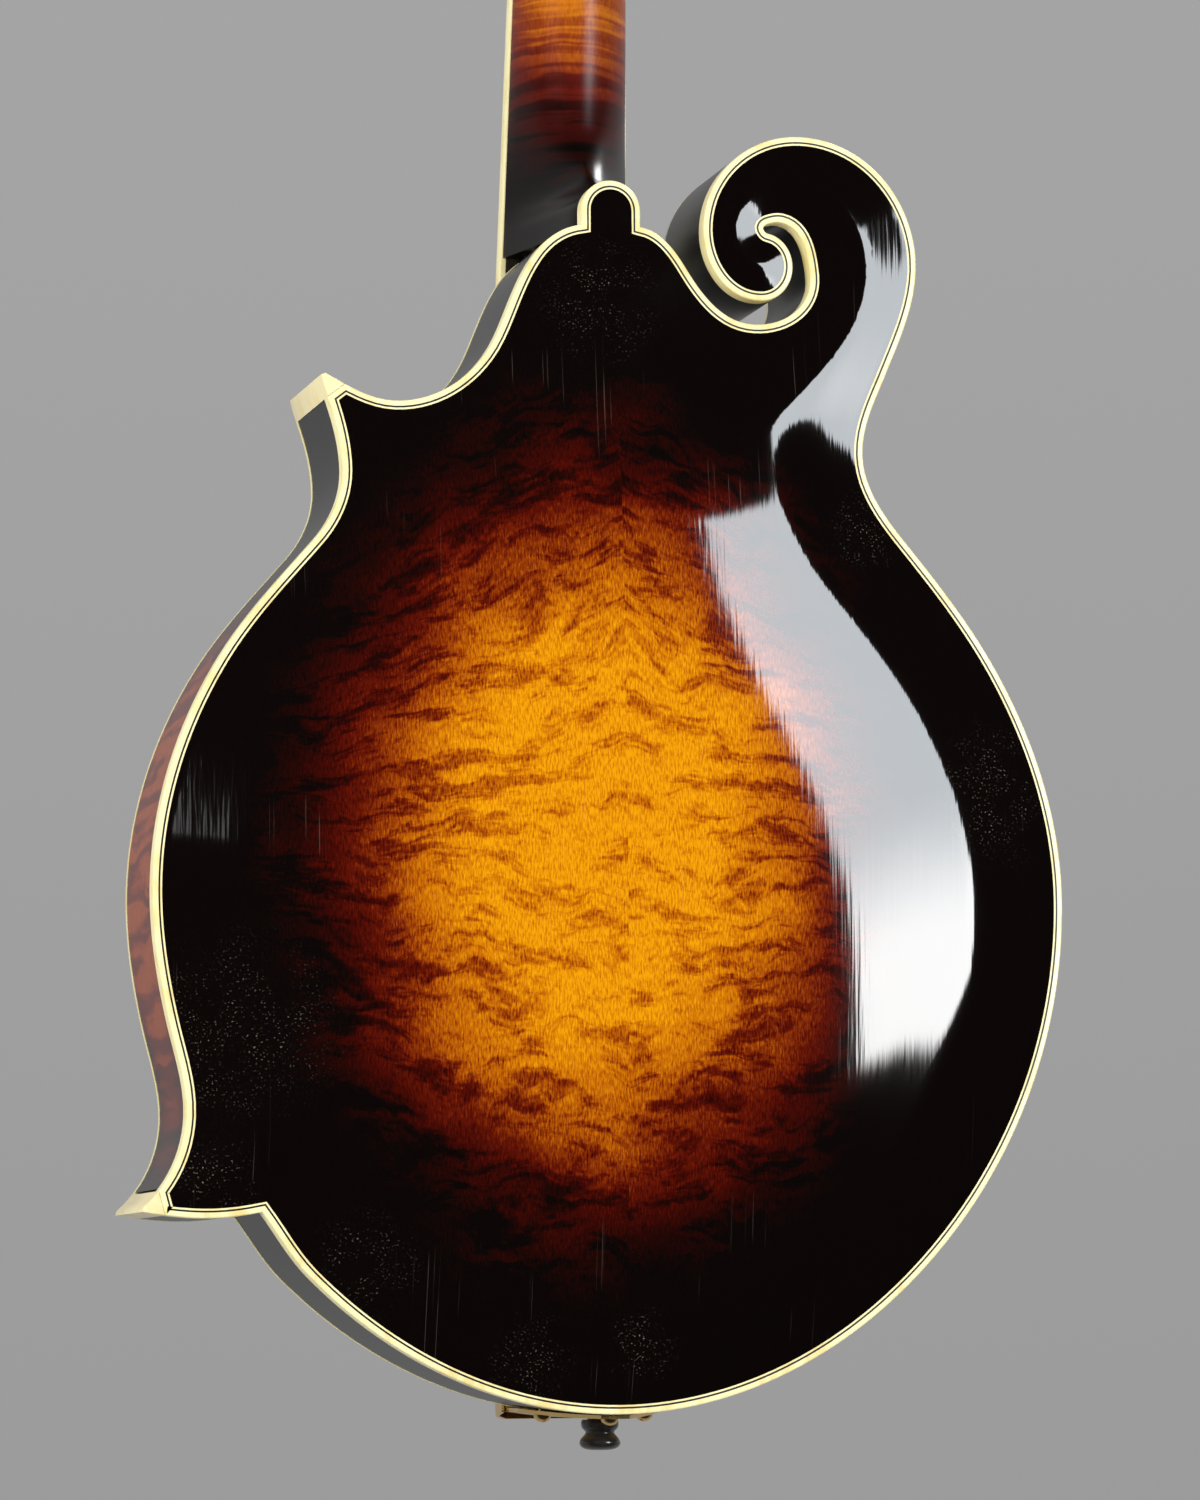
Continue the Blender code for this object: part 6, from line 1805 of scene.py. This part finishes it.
@dataclass
class Scatter:
    """One shape repeated at spots by a geometry node tree."""

    shape: Mesh
    spots: Sequence[Spot]
    finish: Material

    def tree(self) -> bpy.types.NodeTree:
        """Tree that puts the shape on every point and makes the copies real.

        Returns:
            The tree.
        """
        group = bpy.data.node_groups.new("repeat_at_spots", "GeometryNodeTree")
        sockets = group.interface
        sockets.new_socket("Spots", in_out="INPUT", socket_type="NodeSocketGeometry")
        sockets.new_socket("Shape", in_out="INPUT", socket_type="NodeSocketObject")
        sockets.new_socket("Finish", in_out="INPUT", socket_type="NodeSocketMaterial")
        sockets.new_socket("Size", in_out="INPUT", socket_type="NodeSocketFloat")
        sockets.new_socket("Result", in_out="OUTPUT", socket_type="NodeSocketGeometry")
        work = Tree(group)
        given = work.node("NodeGroupInput")

        def wire(node: bpy.types.Node, name: str) -> Wire:
            """Output of a node."""
            return Wire(work, node.outputs[name])

        vector = {"data_type": "FLOAT_VECTOR"}
        turn = work.node("GeometryNodeInputNamedAttribute", vector, {"Name": "turn"})
        size = work.node("GeometryNodeInputNamedAttribute", vector, {"Name": "size"})
        scale = work.node("ShaderNodeVectorMath", {"operation": "SCALE"},
                          {0: wire(size, "Attribute"), "Scale": wire(given, "Size")})
        shape = work.node("GeometryNodeObjectInfo", None, {"Object": wire(given, "Shape")})
        copies = work.node("GeometryNodeInstanceOnPoints", None,
                           {"Points": wire(given, "Spots"), "Instance": wire(shape, "Geometry"),
                            "Rotation": wire(turn, "Attribute"), "Scale": wire(scale, "Vector")})
        real = work.node("GeometryNodeRealizeInstances", None, {"Geometry": wire(copies, "Instances")})
        done = work.node("GeometryNodeSetMaterial", None,
                         {"Geometry": wire(real, "Geometry"), "Material": wire(given, "Finish")})
        work.node("NodeGroupOutput", None, {"Result": wire(done, "Geometry")})
        return group

    def mesh(self, name: str) -> Mesh:
        """The repeated shape as one plain mesh.

        Args:
            name: Name of the mesh.

        Returns:
            The mesh.
        """
        points = bpy.data.meshes.new(name + "_spots")
        points.from_pydata([spot.at for spot in self.spots], [], [])
        for attribute in ("turn", "size"):
            made = points.attributes.new(attribute, "FLOAT_VECTOR", "POINT")
            made.data.foreach_set("vector", [v for spot in self.spots for v in getattr(spot, attribute)])
        holder = held(name, points)
        shape = held(name + "_shape", self.shape)
        group = self.tree()
        modifier = holder.modifiers.new("repeat", "NODES")
        modifier.node_group = group
        keys = {item.name: item.identifier for item in group.interface.items_tree}
        modifier[keys["Shape"]] = shape
        modifier[keys["Finish"]] = self.finish
        modifier[keys["Size"]] = 1.0
        result = evaluated(holder, name)
        bpy.data.objects.remove(shape, do_unlink=True)
        return soften(result, weld=1e-7)


@dataclass(frozen=True)
class Post:
    """One string post."""

    label: str
    side: int
    y: float

    @property
    def course(self) -> str:
        """Letter and number of its string."""
        return self.label.split("_")[1]


@dataclass
class Tuners:
    """Worm tuners: buttons, worms, gears, posts, bushings and plate screws."""

    fitter: Fitter
    lead: float = 2.2 * MM
    turns: int = 3
    root: float = 1.3 * MM
    crest: float = 2.7 * MM
    crest_width: float = 0.45 * MM
    root_width: float = 1.15 * MM
    shaft: float = 1.1 * MM
    ear: float = 1.3 * MM
    teeth: int = 16
    gear_root: float = 4.6 * MM
    gear_crest: float = 6.2 * MM
    gear_width: float = 2.4 * MM
    plate_low: float = -15.5 * MM
    face: float = 2.0 * MM
    post_height: float = 11.0 * MM
    around: int = 32
    post_x = 23.0 * MM
    post_radius = 3.0 * MM

    @staticmethod
    def posts() -> list[Post]:
        """The eight posts: the two nearest the nut serve the outer course.

        Returns:
            The posts, from the nut up, bass side first.
        """
        places = []
        for side, courses in ((-1, "gd"), (1, "ea")):
            for k in range(4):
                label = "%s_%s%d" % ("bass" if side < 0 else "treble", courses[k // 2], k % 2 + 1)
                places.append(Post(label, side, (27.0 + 23.0 * k) * MM))
        return places

    @property
    def worm_z(self) -> float:
        """Height of the worms' axes."""
        return self.plate_low - GAP - self.crest

    @property
    def apart(self) -> float:
        """Distance between the axes of worm and gear."""
        return self.root + self.gear_crest + 0.25 * MM

    def thread(self, x: float, angle: float) -> float:
        """Radius of the worm at a place along it and an angle.

        Args:
            x: Place along the worm.
            angle: Angle round it.

        Returns:
            The radius.
        """
        begin = -self.turns * self.lead / 2
        first = begin + self.lead * angle / (2 * math.pi)
        off = min(abs(x - first - self.lead * k) for k in range(self.turns))
        share = (self.root_width / 2 - off) / (self.root_width / 2 - self.crest_width / 2)
        return self.root + (self.crest - self.root) * min(max(share, 0.0), 1.0)

    def worm(self, side: int) -> Mesh:
        """Worm, shaft and button along X.

        Args:
            side: 1 on the treble side, -1 on the bass side.

        Returns:
            The mesh.
        """
        angles = [2 * math.pi * k / self.around for k in range(self.around)]
        reach = self.turns * self.lead / 2 + self.root_width
        tip = -reach - self.ear - 1.4 * MM
        shaft = self.shaft
        plain = [(tip, shaft * 0.8), (tip + 0.25 * MM, shaft), (-reach - 0.4 * MM, shaft)]
        collar = [(reach + 0.4 * MM, 1.0), (reach + 3.2 * MM, 1.0), (reach + 3.5 * MM, 1.5),
                  (reach + 4.1 * MM, 1.9), (reach + 4.7 * MM, 1.5), (reach + 5.0 * MM, 1.0),
                  (19.6 * MM, 1.0), (20.0 * MM, 1.1), (20.2 * MM, 1.9), (20.8 * MM, 2.0),
                  (21.4 * MM, 1.9)]
        rings = [[(x, r * math.cos(a), r * math.sin(a)) for a in angles] for x, r in plain]
        for x in np.linspace(-reach, reach, 90):
            radii = [self.thread(x, a) for a in angles]
            rings.append([(x, r * math.cos(a), r * math.sin(a)) for r, a in zip(radii, angles)])
        rings += [[(x, r * shaft * math.cos(a), r * shaft * math.sin(a)) for a in angles]
                  for x, r in collar]
        places = (21.5, 22.1, 23.4, 25.2, 29.2, 31.6, 32.7, 33.0)
        sizes = (2.2, 3.6, 6.0, 7.95, 8.2, 6.6, 4.2, 1.6)
        flats = (1.0, 0.72, 0.55, 0.47, 0.46, 0.45, 0.45, 0.45)
        for x in np.linspace(places[0], places[-1], 22):
            r, flat = (float(steady(places, row, np.array([x]))[0]) for row in (sizes, flats))
            rings.append([(x * MM, r * MM * math.cos(a), r * MM * flat * math.sin(a)) for a in angles])
        turned_over = [[(side * x, y, z) for x, y, z in ring] for ring in rings]
        return loft("worm", turned_over, 38.0)

    def gear(self, side: int) -> Mesh:
        """Gear on its post along Z, with the screw that holds it.

        Args:
            side: 1 on the treble side, -1 on the bass side.

        Returns:
            The mesh.
        """
        mid, pitch = self.worm_z, 2 * math.pi / self.teeth
        slope = self.lead / (math.pi * (self.root + self.crest))
        twist = slope * self.gear_width / (self.gear_root + self.gear_crest)
        teeth = ((-0.115, self.gear_crest), (0.115, self.gear_crest), (0.5, self.gear_root))
        rings = []
        for end in np.linspace(-1, 1, 5):
            ring = []
            for tooth in range(self.teeth):
                centre = -math.pi / 2 + tooth * pitch + side * twist * end
                z = mid + end * self.gear_width / 2
                for share, radius in teeth:
                    angle = centre + share * pitch
                    ring.append((radius * math.cos(angle), radius * math.sin(angle), z))
            rings.append(ring)
        r, low, face, high = self.post_radius, mid - self.gear_width / 2, self.face, self.post_height
        waist = 0.8 * r
        steps = ((r, 0.24), (r * 0.93, 0.27), (waist, 0.31), (waist, 0.73), (r * 0.93, 0.77),
                 (r, 0.80), (r, 0.96), (r * 0.86, 1.0), (0.2 * MM, 1.0))
        profile = [(r * 0.7, low - 0.1 * MM), (r * 0.7, mid), (r, mid)]
        profile += [(radius, face + high * share) for radius, share in steps]
        head = slotted("gear_screw", 2.0 * MM, 1.0 * MM, 0.6 * MM, 0.5 * MM)
        head.transform(Matrix.Translation((0, 0, low)) @ Matrix.Rotation(math.pi, 4, "X"))
        parts = [loft("gear", rings), turned("post", profile, 28), head]
        return soften(joined("gear_and_post", parts), 38.0, 1e-7)

    def build(self) -> None:
        """Make every tuner and what holds it."""
        palette = self.fitter.palette
        for post in self.posts():
            body = {"worm": "button_" + post.course, "gear": "post_" + post.course}
            worm, gear = self.worm(post.side), self.gear(post.side)
            worm.name, gear.name = "button_and_worm_" + post.course, "gear_and_post_" + post.course
            x = post.side * self.post_x
            at = HEAD @ Matrix.Translation((x, post.y - self.apart, self.worm_z))
            self.fitter.add(worm, at, palette.tuner, Slot.GOLD, ["worm_" + post.label], body["worm"])
            self.fitter.add(gear, HEAD @ Matrix.Translation((x, post.y, 0)), palette.gold, Slot.GOLD,
                            ["gear_" + post.label], body["gear"])
        spots = [(post.side * self.post_x, post.y) for post in self.posts()]
        wall = self.post_radius + 0.28 * MM
        foot, flange, collar = -2 * MM, 5.3 * MM, 4.2 * MM
        section = [(wall, foot), (wall, self.face + 0.9 * MM), (wall + 0.9 * MM, self.face + 0.9 * MM),
                   (flange, self.face + 0.35 * MM), (flange, self.face + 0.02 * MM),
                   (collar, self.face + 0.02 * MM), (collar, foot)]
        self.fitter.copies("post_bushings", hoop("bushing", section, 32),
                           [Spot((x, y, 0)) for x, y in spots], HEAD, palette.gold, Slot.GOLD)
        screw = slotted("plate_screw", 1.7 * MM, 0.9 * MM, 0.5 * MM, 4 * MM)
        screws = [Spot((x, y + 9.4 * MM, self.plate_low), (math.pi, 0, 0.5 + 1.3 * k))
                  for k, (x, y) in enumerate(spots)]
        self.fitter.copies("tuner_plate_screws", screw, screws, HEAD, palette.gold, Slot.GOLD)


def hoop(name: str, section: Line, count: int) -> Mesh:
    """Ring turned about Z from a closed section of radius and height.

    Args:
        name: Name of the mesh.
        section: Radius and height of each corner.
        count: Steps round the ring.

    Returns:
        The mesh.
    """
    work = bmesh.new()
    rows = []
    for k in range(count):
        angle = 2 * math.pi * k / count
        rows.append([work.verts.new((r * math.cos(angle), r * math.sin(angle), z)) for r, z in section])
    for first, second in zip(rows, rows[1:] + rows[:1]):
        bridge(work, first, second)
    return mesh_from(work, name)


def slotted(name: str, radius: float, high: float, slot: float, shank: float) -> Mesh:
    """Round-headed slotted screw along Z, its head on the plane z = 0.

    Args:
        name: Name of the mesh.
        radius: Radius of the head.
        high: Height of the head.
        slot: Width of the slot.
        shank: Length below the head.

    Returns:
        The mesh.
    """
    angles = np.linspace(0.2, math.pi / 2, 7)
    dome = [(0.01 * MM, high)] + [(radius * math.sin(a), high * math.cos(a)) for a in angles]
    mesh = turned(name, dome + [(radius / 2, 0.0), (radius / 2, -shank)], 24)
    half = radius * 1.3
    bar = slab("bar", [[(-half, -slot / 2), (half, -slot / 2), (half, slot / 2), (-half, slot / 2)]],
               high * 0.55, high * 1.5)
    return cut(mesh, bar, "DIFFERENCE")


@dataclass
class Tail:
    """Tailpiece screws and the end pin."""

    fitter: Fitter
    sheet: float = 1.0 * MM

    def pin(self) -> None:
        """Turned end pin."""
        length = 8.2
        profile = [(0.2, 0.0), (2.6, 0.0), (3.2, 0.08), (4.3, 0.35), (5.1, 0.85), (5.5, 1.45),
                   (5.6, 1.9), (5.5, 2.4), (5.15, 3.1), (4.5, 3.8), (4.05, 4.3), (3.9, 4.75),
                   (4.05, 5.1), (4.5, 5.5), (4.9, 6.0), (5.1, 6.6), (5.1, 7.4), (4.85, length),
                   (3.4, length), (3.06, length + 24.0)]
        mesh = turned("end_pin_turned", [(r * MM, y * MM) for r, y in profile], 56, 45.0)
        mesh.transform(Matrix.Rotation(math.radians(-90), 4, "X"))
        mesh.transform(Matrix.Translation((0, -BODY_START, 0)))
        self.fitter.add(mesh, BODY, self.fitter.palette.pin, Slot.EBONY, ["end_pin"])

    def screws(self) -> None:
        """Three round-headed screws through the sheet into the tail."""
        screw = slotted("tail_screw", 2.4 * MM, 1.9 * MM, 0.6 * MM, 6 * MM)
        arc = math.hypot(84.3, 37.0) / (2 * math.sin(math.pi / 8)) * MM
        spots = []
        for k, (x, z) in enumerate(((-14.3, 7.0), (14.3, 7.0), (0.0, -10.5))):
            x, z = x * MM, z * MM
            y = arc - math.sqrt(arc ** 2 - x * x) - GAP - self.sheet
            spots.append(Spot((x, y, z), (math.radians(90), 0.7 + 1.1 * k, math.asin(x / arc))))
        self.fitter.copies("tail_screws", screw, spots, BODY, self.fitter.palette.gold, Slot.GOLD)

    def build(self) -> None:
        """Make the pin and the screws."""
        self.pin()
        self.screws()


@dataclass(frozen=True)
class Lamp:
    """Rectangular soft light.

    It stands at its place and faces its aim. Shine says whether it shows in reflections, turn
    is its turn about the line to its aim in degrees, and foot is how much brighter its lower
    end is. Its upper end is then a little cooler.
    """

    name: str
    place: Point
    aim: Point
    size: Place
    glow: float
    shine: bool = True
    turn: float = 0.0
    foot: float = 1.0

    def face(self, tree: Tree) -> None:
        """Fade the edges of the lamp's face and grade it from end to end.

        Args:
            tree: The lamp's node tree.
        """
        geometry = tree.node("ShaderNodeNewGeometry")
        across, along, _ = tree.split(Wire(tree, geometry.outputs["Parametric"]))
        sides = across.least(1.0 - across).step(0.0, 0.07)
        ends = along.least(1.0 - along).step(0.0, 0.05)
        low = along.step(0.52, 0.22)
        tint = tree.node("ShaderNodeMix", {"data_type": "RGBA"},
                         {0: low, 6: (0.90, 0.955, 1.0, 1.0), 7: (1.0, 1.0, 1.0, 1.0)})
        strength = sides * ends * (1.0 + low * (self.foot - 1.0))
        made = tree.node("ShaderNodeEmission", None,
                         {"Color": Wire(tree, tint.outputs[2]), "Strength": strength})
        tree.node("ShaderNodeOutputLight", None, {"Surface": Wire(tree, made.outputs[0])})

    def build(self) -> None:
        """Put the lamp into the scene."""
        data = bpy.data.lights.new(self.name, "AREA")
        data.shape = "RECTANGLE"
        data.size, data.size_y = self.size
        data.energy = self.glow * math.pi * self.size[0] * self.size[1]
        if self.foot != 1.0:
            data.use_nodes = True
            self.face(Tree(data.node_tree))
        lamp = held(self.name, data)
        lamp.location = self.place
        facing = (Vector(self.aim) - Vector(self.place)).to_track_quat("-Z", "Y").to_matrix()
        lamp.rotation_euler = (facing @ Matrix.Rotation(math.radians(self.turn), 3, "Z")).to_euler()
        lamp.visible_glossy = self.shine


@dataclass
class Studio:
    """Camera, lights, floor and backdrop tone."""

    tone: float = 0.372
    ambient: float = 0.55
    room: float = 0.05
    floor_z: float = -0.16
    floor_radius: float = 1.5
    lens: float = 130.56
    camera_place: Point = (0.369319, 1.437267, 0.03207)
    camera_axes: tuple[Point, ...] = (
        (-0.96847, 0.019472, 0.248369), (0.249026, 0.104602, 0.962831),
        (-0.007231, 0.994324, -0.106153))
    lamps: tuple[Lamp, ...] = (
        Lamp("key", (-0.6862, 1.0255, 0.3735), (-0.1462, 0.2005, 0.2085), (0.36, 0.66), 10.0,
             turn=17.0, foot=1.7),
        Lamp("neck_strip", (0.72, 1.33, 0.52), (0, 0, 0.40), (0.14, 0.22), 1.2),
        Lamp("rib_fill", (1.2, 0.9, 0.4), (0, 0, 0.2), (0.8, 0.8), 8.0, shine=False),
        Lamp("front", (-1.1, -0.9, 1.4), (0, 0, 0.3), (0.7, 0.6), 12.0),
        Lamp("front_fill", (0.8, -1.4, 0.5), (0, 0, 0.3), (0.8, 0.8), 3.5, shine=False))

    def camera(self) -> None:
        """Camera at the photograph's angle."""
        data = bpy.data.cameras.new("camera")
        data.lens = self.lens
        data.clip_start = 0.01
        camera = held("camera", data)
        camera.matrix_world = Matrix.Translation(self.camera_place) @ Matrix(self.camera_axes).to_4x4()
        bpy.context.scene.camera = camera

    def world(self) -> None:
        """Soft light all round. The backdrop's tone is seen, and mirrored dimmer from the dark room."""
        world = bpy.data.worlds.new("studio")
        world.use_nodes = True
        tree = Tree(world.node_tree)
        rays = tree.node("ShaderNodeLightPath")
        _, back, up = tree.split(Wire(tree, tree.node("ShaderNodeTexCoord").outputs["Generated"]))
        dimmed = 1.0 - back.step(-0.25, 0.35) * (1.0 - self.room)
        mirror = Wire(tree, rays.outputs["Is Glossy Ray"]) * dimmed
        seen = Wire(tree, rays.outputs["Is Camera Ray"])
        seen = seen.most(Wire(tree, rays.outputs["Is Transmission Ray"])).most(mirror)
        other = 1.0 - seen.over(0.0)
        lift = up.step(-0.15, 0.30) * 0.15 + 0.86
        level = seen * lift * self.tone + other * self.ambient
        made = tree.node("ShaderNodeBackground", None, {"Color": (1, 1, 1, 1), "Strength": level})
        tree.node("ShaderNodeOutputWorld", None, {"Surface": Wire(tree, made.outputs[0])})
        bpy.context.scene.world = world

    def floor(self) -> None:
        """Plain pale floor under the hanging instrument, lost in the backdrop at its edge."""
        recipe = Recipe("floor")
        x, y, _ = recipe.place()
        dust = recipe.noise((x / 300.0, y / 300.0, 0.0), 2.0, 0.5)
        far = spread(x, y) / (self.floor_radius / MM)
        colour = recipe.mix(dust, (0.42, 0.42, 0.42), (0.46, 0.46, 0.46))
        finish = recipe.finish(Base_Color=colour, Roughness=0.8, Alpha=far.step(0.98, 0.25),
                               Specular_IOR_Level=0.1)
        mesh = slab("floor", [circle(self.floor_radius, 64)], self.floor_z - 0.01, self.floor_z)
        mesh.materials.append(finish)
        piece = held("floor", mesh)
        piece.visible_glossy = False

    def build(self) -> None:
        """Set everything up."""
        bpy.context.scene.view_settings.view_transform = "Standard"
        self.camera()
        self.world()
        self.floor()
        for lamp in self.lamps:
            lamp.build()


def main() -> None:
    """Dress the mandolin and light it."""
    logging.basicConfig(level=logging.INFO, format="%(name)s %(message)s")
    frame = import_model()
    palette = Palette()
    fitter = Fitter(palette)
    plan = Plan()
    Studio().build()
    Box(plan, fitter).build()
    Neck(plan, fitter).build()
    Tuners(fitter).build()
    Tail(fitter).build()
    inner = ["tail_block", "upper_point_block", "lower_point_block", "back_lining_bass",
             "back_lining_treble", "top_lining_bass", "top_lining_treble", "bass_tone_bar",
             "treble_tone_bar"]
    fitter.dress(frame, inner, palette.inner)
    fitter.dress(frame, ["bridge_base", "bridge_saddle"], palette.ebony)
    fitter.dress(frame, ["thumbwheel_bass", "thumbwheel_treble"], palette.brass)
    fitter.dress(frame, ["nut"], palette.bone)
    fitter.dress(frame, ["truss_rod"], palette.steel)
    plated = ["tailpiece_plate", "tailpiece_cover", "tuner_plate_bass", "tuner_plate_treble"]
    fitter.dress(frame, plated, palette.gold)
    for post in Tuners.posts():
        string = palette.wound if post.course[0] in "gd" else palette.steel
        fitter.dress(frame, ["string_" + post.course], string)


if __name__ == "__main__":
    main()
